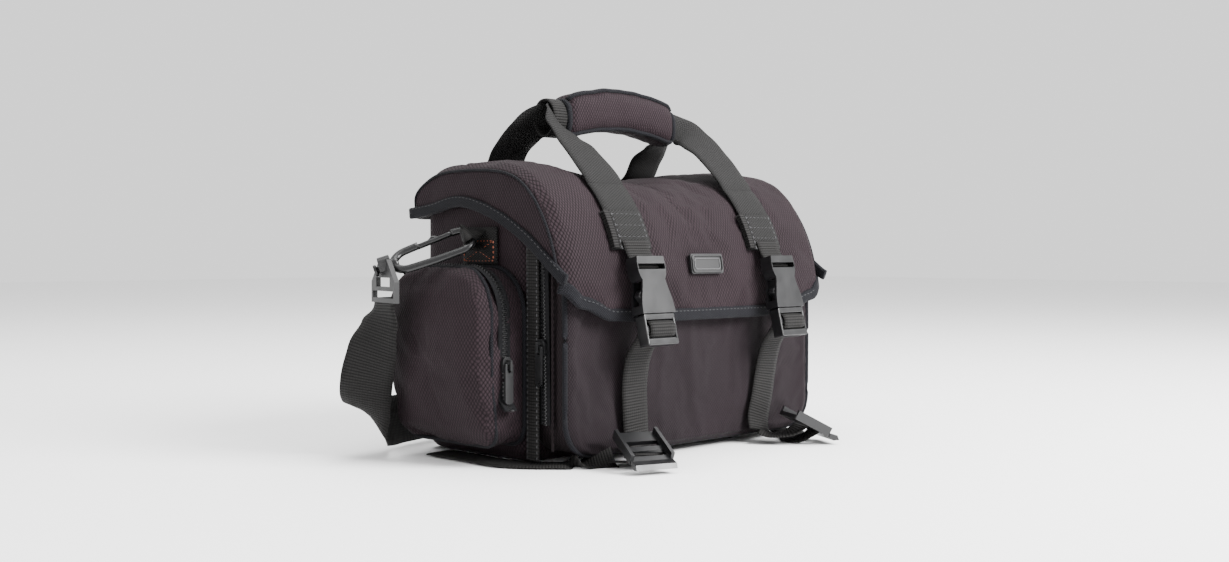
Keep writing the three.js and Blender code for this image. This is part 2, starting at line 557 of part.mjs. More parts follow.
function eyeBody() {
  const turned = (m) => toHook(m.translate([HUB_MID, 0, 0]));
  const hub = turned(cylinderX(6.4, -4.2, 4.2));
  const plate = prismY(outline([[-7, 4], [-22.4, -12], [-22.4, -EYE_DROP], [22.4, -EYE_DROP],
    [22.4, -12], [7, 4]]), -1.8, 1.8).subtract(box(-19.6, 19.6, -9, 9, -EYE_DROP + 3.4, -EYE_DROP + 8.4))
    .subtract(box(-13, 13, -9, 9, -EYE_DROP + 11.4, -9));
  const centre = hookPoint(HUB_MID);
  return hub.add(plate.rotate([0, 0, EYE_TURN]).translate(centre)).subtract(turned(
    cylinderX(PIN_R + 0.4, -9, 9)));
}
function hookPoint(x) {
  const deg = Math.PI / 180;
  const v = new THREE.Vector3(x + HOOK_BAR / 2, 0, 0)
    .applyAxisAngle(new THREE.Vector3(0, 1, 0), -HOOK_TILT * deg)
    .add(new THREE.Vector3(-LOOP_OUT, 0, 0))
    .applyAxisAngle(new THREE.Vector3(0, 0, 1), -HOOK_TURN * deg);
  return [v.x - TAB_X - 2, v.y + LOOP_Y, v.z + LOOP_Z];
}
for (const [side, sign] of SIDES) {
  add(`side_tab_${side}`, placed(tabBody(), -sign), WEBBING());
  add(`snap_hook_${side}`, placed(toHook(hookBody()), -sign), METAL());
  add(`hook_gate_${side}`, placed(toHook(gateBody()), -sign), METAL());
  add(`strap_eye_${side}`, placed(eyeBody(), -sign), PLASTIC());
}

// ---------------------------------------------------------------- shoulder strap
const eyeFoot = hookPoint(HUB_MID);
const strapZ = SHOULDER_WEB / 2 + 2.4;
const strapRun = [
  [[eyeFoot[0], eyeFoot[1], eyeFoot[2] - EYE_DROP - 1.6], [-0.24, -0.97, 0]],
  [[eyeFoot[0] - 1.5, eyeFoot[1], eyeFoot[2] - EYE_DROP - 14], [-0.2, -0.97, 0]],
  [[-211, 21, 74], [0.3, -0.95, 0]],
  [[-214, 34, 48], [0.6, -0.75, -0.2]],
  [[-203, 50, 30], [0.6, -0.45, -0.65]],
  [[-180, 66, 22.5], [0.15, -0.15, -1]],
  [[-150, 78, strapZ], [0, 0, -1]],
  [[-105, 90, strapZ], [0, 0, -1]],
  [[-60, 97, strapZ], [0, 0, -1]],
  [[-1.2, 99, strapZ], [0, 0, -1]],
];
for (const [side, sign] of SIDES) {
  const stations = strapRun.map(([p, w]) => ({
    p: [-sign * p[0], p[1], p[2]], w: [-sign * w[0], w[1], w[2]], width: SHOULDER_WEB,
  }));
  add(`shoulder_strap_${side}`, webThrough(stations, 36), WEBBING());
}
const sliderSlot = (x0, x1) => box(x0, x1, 90, 110, 3.2, strapZ * 2 - 1);
add('strap_slider', prismY(rounded(-12, 12, 0.6, strapZ * 2 + 1.8, [4, 4, 4, 4]), 100.6, 103.6, 4)
  .subtract(sliderSlot(-9, -1.8)).subtract(sliderSlot(1.8, 9)), PLASTIC());

export default bag;
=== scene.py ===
# Camera bag: soft padded shell, pockets, hooded lid, webbing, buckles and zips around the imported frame.
import json
import math
import bmesh
import bpy
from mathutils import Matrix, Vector, noise


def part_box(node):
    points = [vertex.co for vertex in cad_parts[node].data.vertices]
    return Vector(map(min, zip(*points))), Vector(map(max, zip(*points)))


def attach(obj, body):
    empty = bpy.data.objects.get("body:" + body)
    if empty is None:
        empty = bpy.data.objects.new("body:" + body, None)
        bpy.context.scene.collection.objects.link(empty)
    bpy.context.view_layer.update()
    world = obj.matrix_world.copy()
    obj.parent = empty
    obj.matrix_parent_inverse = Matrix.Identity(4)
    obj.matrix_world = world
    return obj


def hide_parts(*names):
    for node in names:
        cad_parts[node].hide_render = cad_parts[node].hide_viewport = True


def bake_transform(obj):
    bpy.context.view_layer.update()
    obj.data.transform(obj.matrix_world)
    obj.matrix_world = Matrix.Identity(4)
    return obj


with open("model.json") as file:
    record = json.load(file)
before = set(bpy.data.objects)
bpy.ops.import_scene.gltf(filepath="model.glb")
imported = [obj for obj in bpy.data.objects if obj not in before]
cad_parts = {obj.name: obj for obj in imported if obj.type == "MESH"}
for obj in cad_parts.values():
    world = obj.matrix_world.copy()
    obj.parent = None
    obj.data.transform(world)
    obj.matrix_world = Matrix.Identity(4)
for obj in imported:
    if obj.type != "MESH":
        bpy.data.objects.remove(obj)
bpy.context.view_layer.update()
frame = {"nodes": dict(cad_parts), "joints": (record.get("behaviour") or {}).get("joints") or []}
MM = 0.001
SIDES = (("left", -1), ("right", 1))
GROUND = 0.2    # nothing made of webbing sinks lower than this, in mm
RIGHT = (1, 0, 0)


def box_mm(node):
    low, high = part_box(node)
    return [v / MM for v in low], [v / MM for v in high]


def middle(node, axis):
    low, high = box_mm(node)
    return (low[axis] + high[axis]) / 2


# ------------------------------------------------------------------ camera
CAM_PLACE = (-0.756, -0.764, 0.150)
CAM_YAW = math.radians(-45)
CAM_PITCH = math.radians(-1.25)
SENSOR, LENS = 36, 38.9585
camera = bpy.data.objects.new("camera", bpy.data.cameras.new("camera"))
bpy.context.scene.collection.objects.link(camera)
camera.data.sensor_width = SENSOR
camera.data.lens = LENS
camera.data.clip_start = 0.05
camera.location = CAM_PLACE
camera.rotation_euler = (math.pi / 2 + CAM_PITCH, 0, CAM_YAW)
bpy.context.scene.camera = camera


# ------------------------------------------------------------------ mesh helpers
def link(name, mesh):
    obj = bpy.data.objects.new(name, mesh)
    bpy.context.scene.collection.objects.link(obj)
    return obj


def make(name, points, faces, smooth=True, cloth=None):
    """A mesh object from points in millimetres; cloth holds each point's place on the fabric, in mm."""
    mesh = bpy.data.meshes.new(name)
    mesh.from_pydata([[c * MM for c in p] for p in points], [], faces)
    if smooth:
        mesh.polygons.foreach_set("use_smooth", [True] * len(mesh.polygons))
    if cloth:
        layer = mesh.attributes.new("cloth", "FLOAT_VECTOR", "POINT")
        layer.data.foreach_set("vector", [c for uv in cloth for c in (uv[0], uv[1], 0.0)])
    mesh.update()
    return link(name, mesh)


def grid_faces(rows, cols, wrap=False, start=0):
    faces = []
    for i in range(rows - 1):
        for j in range(cols if wrap else cols - 1):
            k = (j + 1) % cols
            a, b = start + i * cols + j, start + i * cols + k
            faces.append((a, b, b + cols, a + cols))
    return faces


def outward(obj):
    bm = bmesh.new()
    bm.from_mesh(obj.data)
    bmesh.ops.recalc_face_normals(bm, faces=bm.faces)
    bm.to_mesh(obj.data)
    bm.free()
    return obj


def facing(obj, direction):
    """Turns the normals of an open sheet to the side that direction points to."""
    way = Vector(direction)
    outward(obj)
    if sum(p.normal.dot(way) for p in obj.data.polygons) < 0:
        obj.data.flip_normals()
    return obj


def apply_all(obj):
    graph = bpy.context.evaluated_depsgraph_get()
    mesh = bpy.data.meshes.new_from_object(obj.evaluated_get(graph))
    obj.modifiers.clear()
    obj.data = mesh
    return obj


def solidify(obj, thickness, offset=-1.0, faces=()):
    """Gives cloth its thickness; faces are the outer and inner materials where they differ."""
    for material in faces:
        obj.data.materials.append(material)
    mod = obj.modifiers.new("thick", "SOLIDIFY")
    mod.material_offset = len(faces) // 2
    mod.thickness = thickness * MM
    mod.offset = offset
    mod.use_even_offset = False
    return apply_all(obj)


def path_length(points):
    return sum((Vector(b) - Vector(a)).length for a, b in zip(points, points[1:]))


def curve_points(points, count):
    """count + 1 points at even steps along a smooth curve through the given ones."""
    pts = [Vector(p) for p in points]
    pts = [pts[0] * 2 - pts[1]] + pts + [pts[-1] * 2 - pts[-2]]
    fine = []
    for i in range(1, len(pts) - 2):
        p0, p1, p2, p3 = pts[i - 1:i + 3]
        for k in range(20):
            t = k / 20
            fine.append(0.5 * (2 * p1 + (p2 - p0) * t + (2 * p0 - 5 * p1 + 4 * p2 - p3) * t * t
                               + (3 * p1 - p0 - 3 * p2 + p3) * t ** 3))
    fine.append(pts[-2])
    run = [0.0]
    for a, b in zip(fine, fine[1:]):
        run.append(run[-1] + (b - a).length)
    out, k = [], 0
    for i in range(count + 1):
        want = run[-1] * i / count
        while k < len(run) - 2 and run[k + 1] < want:
            k += 1
        span = run[k + 1] - run[k] or 1
        out.append(fine[k].lerp(fine[k + 1], (want - run[k]) / span))
    return out


def ribbon(name, stations, thickness=2.0, step=2.5, lumps=0.12):
    """Flat webbing with rounded selvedges through stations (point, direction across, width)."""
    places = [Vector(s[0]) for s in stations]
    lengths = [0.0]
    for a, b in zip(places, places[1:]):
        lengths.append(lengths[-1] + (b - a).length)
    count = max(4, int(lengths[-1] / step))
    line = curve_points(places, count)
    across_at = [Vector(s[1]).normalized() for s in stations]
    spread = [-1 + k / 3 for k in range(7)]
    section = [(u, 1) for u in spread] + [(-u, -1) for u in spread]
    pts, cloth, run = [], [], 0.0
    for i, p in enumerate(line):
        t = i / count * lengths[-1]
        k = 0
        while k < len(lengths) - 2 and lengths[k + 1] < t:
            k += 1
        f = (t - lengths[k]) / max(lengths[k + 1] - lengths[k], 1e-6)
        f = f * f * (3 - 2 * f)
        w = across_at[k].lerp(across_at[k + 1], f)
        width = stations[k][2] * (1 - f) + stations[k + 1][2] * f
        tangent = (line[min(i + 1, count)] - line[max(i - 1, 0)]).normalized()
        w = (w - tangent * w.dot(tangent)).normalized()
        n = tangent.cross(w)
        if i:
            run += (p - line[i - 1]).length
        for u, v in section:
            edge = 1 - 0.45 * abs(u) ** 8
            bump = lumps * noise.noise(p * 0.05 + Vector((u, 0, 7)))
            q = p + w * (u * width / 2) + n * (v * thickness / 2 * edge + bump)
            q.z = max(q.z, GROUND + (v + 1) * 0.3)
            pts.append(q)
            cloth.append((u * width / 2, run))
    cols = len(section)
    faces = grid_faces(count + 1, cols, wrap=True)
    faces.append(tuple(reversed(range(cols))))
    last = count * cols
    faces.append(tuple(range(last, last + cols)))
    return outward(make(name, pts, faces, cloth=cloth))


def tube(name, points, radius, sides=8, closed=False, squash=(1, 1), up=(0, 0, 1)):
    """A round or oval cord through the points; squash scales it across and along up."""
    line = [Vector(p) for p in points]
    n = len(line)
    pts, cloth, run = [], [], 0.0
    for i, p in enumerate(line):
        a = line[(i - 1) % n] if closed else line[max(i - 1, 0)]
        b = line[(i + 1) % n] if closed else line[min(i + 1, n - 1)]
        t = (b - a).normalized()
        side = t.cross(Vector(up))
        side = side.normalized() if side.length > 1e-3 else Vector((1, 0, 0))
        top = side.cross(t)
        if i:
            run += (p - line[i - 1]).length
        for k in range(sides):
            ang = 2 * math.pi * k / sides
            pts.append(p + side * math.cos(ang) * radius * squash[0]
                       + top * math.sin(ang) * radius * squash[1])
            cloth.append((ang * radius, run))
    faces = grid_faces(n, sides, wrap=True)
    if closed:
        for k in range(sides):
            m = (k + 1) % sides
            faces.append(((n - 1) * sides + k, (n - 1) * sides + m, m, k))
    else:
        faces.append(tuple(reversed(range(sides))))
        faces.append(tuple(range((n - 1) * sides, n * sides)))
    return outward(make(name, pts, faces, cloth=cloth))


# ------------------------------------------------------------------ materials
class Nodes:
    """Short calls for building one material's node tree."""

    def __init__(self, name):
        self.material = bpy.data.materials.new(name)
        self.material.use_nodes = True
        self.tree = self.material.node_tree
        self.shader = self.tree.nodes["Principled BSDF"]

    def new(self, kind, **values):
        node = self.tree.nodes.new(kind)
        for key, value in values.items():
            setattr(node, key, value)
        return node

    def put(self, socket, value):
        if isinstance(value, bpy.types.NodeSocket):
            self.tree.links.new(value, socket)
        else:
            socket.default_value = value

    def math(self, op, a, b=0.0):
        node = self.new("ShaderNodeMath", operation=op)
        for socket, value in zip(node.inputs, (a, b)):
            self.put(socket, value)
        return node.outputs[0]

    def times(self, a, b):
        return self.math("MULTIPLY", a, b)

    def plus(self, a, b):
        return self.math("ADD", a, b)

    def arches(self, value):
        """A row of round arches, each 1 wide: |sin(pi value)|."""
        return self.math("ABSOLUTE", self.math("SINE", self.times(value, math.pi)))

    def place(self):
        return self.new("ShaderNodeTexCoord").outputs["Object"]

    def split(self, vector):
        node = self.new("ShaderNodeSeparateXYZ")
        self.put(node.inputs[0], vector)
        return node.outputs

    def noise(self, vector, scale, detail=3.0):
        node = self.new("ShaderNodeTexNoise")
        self.put(node.inputs["Vector"], vector)
        node.inputs["Scale"].default_value = scale
        node.inputs["Detail"].default_value = detail
        return node.outputs["Fac"]

    def mix(self, fac, a, b):
        node = self.new("ShaderNodeMix", data_type="RGBA")
        self.put(node.inputs[0], fac)
        for socket, value in ((node.inputs[6], a), (node.inputs[7], b)):
            self.put(socket, (*value, 1) if isinstance(value, tuple) else value)
        return node.outputs[2]

    def ramp(self, value, low, high, to_low=0.0, to_high=1.0):
        node = self.new("ShaderNodeMapRange")
        for socket, v in zip(node.inputs, (value, low, high, to_low, to_high)):
            self.put(socket, v)
        return node.outputs[0]

    def bump(self, height, strength, distance):
        node = self.new("ShaderNodeBump")
        node.inputs["Strength"].default_value = strength
        node.inputs["Distance"].default_value = distance
        self.put(node.inputs["Height"], height)
        self.put(self.shader.inputs["Normal"], node.outputs[0])

    def finish(self, color, rough, sheen=0.0, specular=0.5):
        self.put(self.shader.inputs["Base Color"], (*color, 1) if isinstance(color, tuple) else color)
        self.put(self.shader.inputs["Roughness"], rough)
        self.shader.inputs["Sheen Weight"].default_value = sheen
        self.shader.inputs["Sheen Roughness"].default_value = 0.5
        self.shader.inputs["Specular IOR Level"].default_value = specular
        return self.material


def diamonds(n, u, v):
    """Height of a ballistic weave: plump lozenges between two sets of slanting furrows."""
    return n.math("POWER", n.times(n.arches(u), n.arches(v)), 0.55)


def threads(n, u, v):
    """Height of a plain weave at u, v, where one thread is 1 wide."""
    over = n.math("GREATER_THAN", n.times(n.math("SINE", n.times(u, math.pi)),
                                          n.math("SINE", n.times(v, math.pi))), 0.0)
    a, b = n.arches(u), n.arches(v)
    lifted = n.times(n.plus(a, 0.35), n.plus(b, 0.35))
    flat = n.times(n.math("POWER", a, 0.5), 0.55)
    return n.plus(n.times(over, lifted), n.times(n.math("SUBTRACT", 1.0, over), flat))


def woven(name, dark, light, thread_mm, turned=True, sheen=0.25, rough=0.72, depth=0.00035, grain=1.0):
    """Woven nylon: the weave lies on the plane that the surface faces, so it needs no unwrapping."""
    n = Nodes(name)
    place = n.place()
    x, y, z = n.split(place)
    geometry = n.new("ShaderNodeNewGeometry")
    transform = n.new("ShaderNodeVectorTransform", vector_type="NORMAL", convert_from="WORLD",
                      convert_to="OBJECT")
    n.put(transform.inputs[0], geometry.outputs["Normal"])
    nx, ny, nz = [n.math("ABSOLUTE", s) for s in n.split(transform.outputs[0])]
    per = 1.0 / (thread_mm * MM)

    def plane(a, b):
        if turned:
            tall = n.times(b, 0.62)
            a, b = n.plus(a, tall), n.math("SUBTRACT", a, tall)
            return diamonds(n, n.times(a, per * 0.85), n.times(b, per * 0.85))
        return threads(n, n.times(a, per), n.times(b, per))

    front, side, top = plane(x, z), plane(y, z), plane(x, y)
    is_side = n.math("GREATER_THAN", nx, n.math("MAXIMUM", ny, nz))
    is_top = n.math("GREATER_THAN", nz, n.math("MAXIMUM", nx, ny))
    height = n.plus(n.times(side, is_side), n.times(top, is_top))
    rest = n.math("SUBTRACT", 1.0, n.plus(is_side, is_top))
    height = n.plus(height, n.times(front, rest))
    broad = n.noise(place, 9.0, 2.0)
    fine = n.noise(place, 900.0, 2.0)
    tone = n.plus(n.times(height, 0.75), n.times(fine, 0.25 * grain))
    tone = n.plus(tone, n.times(n.math("SUBTRACT", broad, 0.5), 0.35))
    color = n.mix(n.ramp(tone, 0.15, 1.1), dark, light)
    n.bump(n.plus(height, n.times(fine, 0.3)), 0.9, depth)
    return n.finish(color, n.ramp(tone, 0, 1.2, rough + 0.1, rough - 0.08), sheen, 0.09)


def webbing(name, dark, light, rib_mm=1.5, columns_mm=1.7, stagger=0.0):
    """Ribbed polypropylene webbing: its ribs follow the strap's own lengthwise coordinate."""
    n = Nodes(name)
    attr = n.new("ShaderNodeAttribute", attribute_name="cloth")
    u, v, _ = n.split(attr.outputs["Vector"])
    ku = n.times(u, math.pi / columns_mm)
    kv = n.times(v, math.pi / rib_mm)
    phase = n.times(n.math("GREATER_THAN", n.math("SINE", ku), 0.0), math.pi * stagger)
    rib = n.math("ABSOLUTE", n.math("SINE", n.plus(kv, phase)))
    column = n.math("ABSOLUTE", n.math("SINE", ku))
    height = n.times(n.math("POWER", rib, 0.8), n.plus(n.times(column, 0.3), 0.7))
    fine = n.noise(n.place(), 1400.0, 2.0)
    tone = n.plus(n.times(height, 0.75), n.times(fine, 0.3))
    n.bump(height, 1.0, 0.0005)
    color = n.mix(n.ramp(tone, 0.1, 1.15), dark, light)
    return n.finish(color, n.ramp(tone, 0, 1.2, 0.8, 0.6), 0.01, 0.12)


def moulded(name, color, rough, grain=0.06, metallic=0.0, coat=0.0):
    n = Nodes(name)
    place = n.place()
    cloud = n.noise(place, 60.0, 3.0)
    speck = n.noise(place, 2500.0, 2.0)
    tint = n.mix(cloud, tuple(c * 0.8 for c in color), tuple(c * 1.25 for c in color))
    n.bump(speck, grain, 0.0002)
    n.shader.inputs["Metallic"].default_value = metallic
    n.shader.inputs["Coat Weight"].default_value = coat
    n.shader.inputs["Coat Roughness"].default_value = 0.25
    return n.finish(tint, n.ramp(cloud, 0.3, 0.7, rough - 0.05, rough + 0.08), 0.0, 0.5)


SHELL = woven("shell_fabric", (0.0022, 0.0013, 0.0017), (0.026, 0.0160, 0.0200), 2.2, sheen=0.01)
PANEL = woven("panel_fabric", (0.0022, 0.0015, 0.0019), (0.018, 0.0120, 0.0150), 1.6, sheen=0.01)
GUSSET = woven("gusset_fabric", (0.0018, 0.0012, 0.0014), (0.016, 0.0105, 0.0122), 2.5, sheen=0.01)
BINDING = woven("binding_tape", (0.0016, 0.0016, 0.0021), (0.0085, 0.0085, 0.0115), 0.9, turned=False,
                sheen=0.02)
LINING = woven("lining_cloth", (0.035, 0.033, 0.033), (0.085, 0.082, 0.08), 0.6, turned=False, sheen=0.5,
               rough=0.85)
DIVIDER = woven("divider_cloth", (0.02, 0.02, 0.021), (0.055, 0.055, 0.057), 0.6, turned=False, sheen=0.6,
                rough=0.85)
WEBBING = webbing("webbing", (0.0008, 0.0008, 0.0008), (0.016, 0.0150, 0.0146), 2.1, 2.0)
WIDE = webbing("wide_webbing", (0.0008, 0.0008, 0.0008), (0.0165, 0.0158, 0.0156), 1.9, 1.6, 0.5)
TAPE = webbing("zip_tape", (0.0015, 0.0015, 0.0018), (0.0085, 0.0085, 0.010), 0.8, 0.8)
THREAD = moulded("stitch_thread", (0.009, 0.009, 0.011), 0.6)
ORANGE = moulded("orange_thread", (0.20, 0.045, 0.018), 0.6)
PLASTIC = moulded("buckle_plastic", (0.0035, 0.0035, 0.004), 0.33, coat=0.05)
METAL = moulded("hook_metal", (0.010, 0.010, 0.0105), 0.26, metallic=0.3)
ZIP = moulded("zip_metal", (0.004, 0.004, 0.0044), 0.3)
RUBBER = moulded("badge_rubber", (0.0035, 0.0035, 0.004), 0.5, grain=0.2)
PALE = moulded("badge_inlay", (0.06, 0.06, 0.062), 0.5)


def dress(obj, material, body="bag", replaces=()):
    if material not in obj.data.materials[:]:
        obj.data.materials.clear()
        obj.data.materials.append(material)
    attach(obj, body)
    if replaces:
        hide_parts(*replaces)
    return obj


def bind(name, line, radius, body="bag", slot="webbing", sides=8, **shape):
    """Piping, or the rounded binding of an edge, along the line."""
    return dress(tube(name, line, radius, sides, **shape), BINDING, body)


def web(name, stations, thickness, material, body="bag", replaces=(), **shape):
    """Webbing that moves with one body."""
    return dress(ribbon(name, stations, thickness, **shape), material, body, replaces)


def span(name, stations, material, node, bodies, start, end):
    """Webbing that runs from one body to another, held by neither; start and end are not used."""
    strap = ribbon(name, stations, WEB_T)
    strap.data.materials.append(material)
    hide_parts(node)
    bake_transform(strap)


# ------------------------------------------------------------------ dimensions read from the frame
HALF_W, HALF_D, BODY_TOP = box_mm("main_shell")[1]
POCKET_LOW, POCKET_HIGH = box_mm("front_pocket")
PANEL_Y = POCKET_LOW[1]
POCKET_HALF = POCKET_HIGH[0]
LID_HALF = box_mm("lid")[1][0]
HINGE_Y = next(j for j in frame["joints"] if j["name"] == "lid_hinge")["pos_m"][1] / MM
STRAP_X = middle("buckle_socket_right", 0)
WEB_T, WIDE_WEB, NARROW_WEB, SHOULDER_WEB = 2.0, 36, 25, 38


def rounded_rect(half_w, half_d, radius, count):
    """count points round a rounded rectangle, anticlockwise from +x; each is x, y, outward x, outward y."""
    lx, ly = half_w - radius, half_d - radius
    arc = math.pi * radius / 2
    total = 4 * (lx + ly) + 4 * arc
    legs = [(ly, "x+"), (arc, 0), (2 * lx, "y+"), (arc, 1), (2 * ly, "x-"), (arc, 2), (2 * lx, "y-"),
            (arc, 3), (ly, "end")]
    pts = []
    for i in range(count):
        s = (i / count * total) % total
        for length, kind in legs:
            if s <= length:
                break
            s -= length
        if kind == "x+":
            p, m = (half_w, s), (1, 0)
        elif kind == "end":
            p, m = (half_w, -ly + s), (1, 0)
        elif kind == "y+":
            p, m = (lx - s, half_d), (0, 1)
        elif kind == "x-":
            p, m = (-half_w, ly - s), (-1, 0)
        elif kind == "y-":
            p, m = (-lx + s, -half_d), (0, -1)
        else:
            ang = kind * math.pi / 2 + s / radius
            cx = lx if kind in (0, 3) else -lx
            c = ly if kind in (0, 1) else -ly
            m = (math.cos(ang), math.sin(ang))
            p = (cx + radius * m[0], c + radius * m[1])
        pts.append((*p, *m))
    return pts


def wrinkle(p, size, seed=0.0):
    return noise.noise(Vector(p) / size + Vector((seed, seed * 1.7, seed * 0.3)))


def round_in(h, radius):
    """How far a rounded lower edge lies inside the flat face, at height h above the bottom."""
    return radius - math.sqrt(max(0, radius ** 2 - (radius - h) ** 2)) if h < radius else 0


# ------------------------------------------------------------------ cloth
CLOTH_FRAMES = 18


def settle(obj, pinned, pressure, shrink, reach):
    """Lets a panel of cloth, held where pinned(point) is true, swell and crease, by reach mm at most."""
    rest = [v.co.copy() for v in obj.data.vertices]
    group = obj.vertex_groups.new(name="held")
    group.add([i for i, p in enumerate(rest) if pinned(p / MM)], 1.0, "REPLACE")
    mod = obj.modifiers.new("cloth", "CLOTH")
    cloth = mod.settings
    cloth.vertex_group_mass = "held"
    cloth.mass = 0.25
    cloth.quality = 5
    cloth.tension_stiffness = cloth.compression_stiffness = 20
    cloth.shear_stiffness = 12
    cloth.bending_stiffness = 0.6
    cloth.shrink_min = shrink
    cloth.use_pressure = True
    cloth.uniform_pressure_force = pressure
    cloth.effector_weights.gravity = 0.0
    mod.collision_settings.use_collision = False
    mod.point_cache.frame_start, mod.point_cache.frame_end = 1, CLOTH_FRAMES
    scene = bpy.context.scene
    for frame_no in range(1, CLOTH_FRAMES + 1):
        scene.frame_set(frame_no)
    evaluated = obj.evaluated_get(bpy.context.evaluated_depsgraph_get())
    moved = [v.co.copy() for v in evaluated.data.vertices]
    obj.modifiers.clear()
    for v, a, b in zip(obj.data.vertices, rest, moved):
        step = b - a
        limit = reach * MM
        v.co = a + step * (limit / step.length if step.length > limit else 1.0)
    scene.frame_set(1)
    return obj


def stitches(name, points, lift, length=2.6, gap=1.5, radius=0.35, material=THREAD, body="bag"):
    """A row of thread dashes along the points, standing out in the direction lift."""
    count = max(2, int(path_length(points) / (length + gap)))
    line = curve_points(points, count * 2)
    up = Vector(lift).normalized()
    pts, faces = [], []
    for i in range(count):
        a, b = line[2 * i], line[2 * i + 1]
        along = (b - a).normalized()
        side = along.cross(up).normalized() * radius
        base = len(pts)
        for q, h in ((a, 0.0), (a + along * 0.5, radius), (b - along * 0.5, radius), (b, 0.0)):
            pts += [q - side - up * radius, q + up * h, q + side - up * radius]
        for m in range(base, base + 9, 3):
            faces += [(m, m + 1, m + 4, m + 3), (m + 1, m + 2, m + 5, m + 4)]
    return dress(make(name, pts, faces, cloth=[(0, 0)] * len(pts)), material, body)


# ------------------------------------------------------------------ main compartment
EDGE_R, CORNER_R = 12, 16
RING = 132


def shell_surface(name, inset, floor, top, flare=0.0):
    levels = [0, 0.8, 2.4, 5, 8, 12] + [12 + (top - floor - 12) * k / 26 for k in range(1, 27)]
    pts = []
    for h in levels:
        z = floor + h
        d = inset + round_in(h, EDGE_R)
        swell = math.sin(math.pi * min(1, h / (top - floor)))
        for x, y, nx, ny in rounded_rect(HALF_W - d, HALF_D - d, max(4, CORNER_R - d * 0.7), RING):
            push = flare * swell + 0.8 * wrinkle((x, y, z), 38, 3) * swell
            pts.append((x + nx * push, y + ny * push, z + (0.25 * wrinkle((x, y, z), 20) if h else 0)))
    faces = grid_faces(len(levels), RING, wrap=True)
    faces.append(tuple(reversed(range(RING))))
    return outward(make(name, pts, faces))


shell = shell_surface("shell_outer", 0.6, 0.0, BODY_TOP - 1, 0.4)
solidify(shell, 3.6)
dress(shell, SHELL, "bag", ("main_shell",))
LINER_IN = 5.6
liner = shell_surface("liner_cloth", LINER_IN, 8.6, BODY_TOP - 4.5, -0.4)
solidify(liner, 2.6)
dress(liner, LINING, "bag", ("padded_liner", "base_board"))
rim = [(x, y, BODY_TOP - 1) for x, y, _, _ in rounded_rect(HALF_W - 3, HALF_D - 3, CORNER_R - 3, 120)]
bind("shell_rim_binding", rim, 3.2, sides=10, closed=True, squash=(1, 0.9))


PAD_CORNER, PAD_POINTS, PAD_RINGS = 10, 72, 9


def pad(name, node, axis):
    """A foam slab inside a cloth sleeve, filling the box of its CAD node; axis is the thin direction."""
    low, high = box_mm(node)
    a, b = [k for k in range(3) if k != axis]
    mid = (low[axis] + high[axis]) / 2
    half = (high[axis] - low[axis]) / 2
    cu, cv = (low[a] + high[a]) / 2, (low[b] + high[b]) / 2
    wu, wv = (high[a] - low[a]) / 2, (high[b] - low[b]) / 2
    pts = []
    for side in (-1, 1):
        for i in range(PAD_RINGS):
            scale = i / (PAD_RINGS - 1) if side < 0 else 1 - i / (PAD_RINGS - 1)
            edge = min(1.0, (1 - scale) * min(wu, wv) / max(half, 1) / 1.1)
            depth = half * (0.35 + 0.65 * math.sqrt(1 - (1 - edge) ** 2)) - 0.3
            for u, v, _, _ in rounded_rect(wu, wv, PAD_CORNER, PAD_POINTS):
                q = [0, 0, 0]
                q[a], q[b] = cu + u * scale, cv + v * scale
                q[axis] = mid + side * depth * (1 - 0.05 * abs(wrinkle((q[a], q[b], 0), 25, 5)))
                pts.append(tuple(q))
    obj = outward(make(name, pts, grid_faces(2 * PAD_RINGS, PAD_POINTS, wrap=True)))
    dress(obj, DIVIDER, "bag", (node,))


for side, sign in SIDES:
    pad(f"divider_pad_{side}", f"divider_{side}", 0)
pad("short_divider_pad", "short_divider", 1)

# ------------------------------------------------------------------ front pocket
POCKET_R = 26
POCKET_Z0, POCKET_TOP = POCKET_LOW[2], POCKET_HIGH[2]
POCKET_BACK = POCKET_HIGH[1]
PROFILE = [(POCKET_Z0, 3.4), (POCKET_Z0 + 5, 0.8), (22, 0), (90, -0.2), (122, 0.3), (140, 2.4),
           (POCKET_TOP, 8.6)]


def step_through(table, z):
    """The value at z between the (z, value) pairs of table, eased from each to the next."""
    if z <= table[0][0]:
        return table[0][1]
    for (z0, a), (z1, b) in zip(table, table[1:]):
        if z <= z1:
            f = (z - z0) / (z1 - z0)
            f = f * f * (3 - 2 * f)
            return a * (1 - f) + b * f
    return table[-1][1]


def pocket_half(z):
    return POCKET_HALF - 0.5 - round_in(z - POCKET_Z0, POCKET_R)


def pocket_front(x, z):
    edge = (pocket_half(z) - abs(x))
    roll = 3.2 * max(0, 1 - edge / 9) ** 2
    return PANEL_Y + step_through(PROFILE, z) + roll + 0.7


rows, cols = 64, 108
pts = []
for i in range(rows + 1):
    z = POCKET_Z0 + (POCKET_TOP - POCKET_Z0 - 0.5) * (i / rows) ** 1.15
    for j in range(cols + 1):
        u = -1 + 2 * j / cols
        x = u * pocket_half(z)
        creases = 0.55 * wrinkle((x * 0.6, 0, z), 24, 2) + 0.35 * wrinkle((x, 0, z * 0.5), 11, 8)
        pts.append((x, pocket_front(x, z) + creases * min(1, (1 - abs(u)) * 8), z))
panel = make("front_panel", pts, grid_faces(rows + 1, cols + 1))
settle(panel, lambda p: abs(p.x) > pocket_half(p.z) - 1.5 or p.z < POCKET_Z0 + 2 or p.z > POCKET_TOP - 3,
       -1.2, -0.012, 2.4)
facing(panel, (0, -1, 0))
dress(solidify(panel, 3.0), PANEL, "bag", ("front_pocket",))


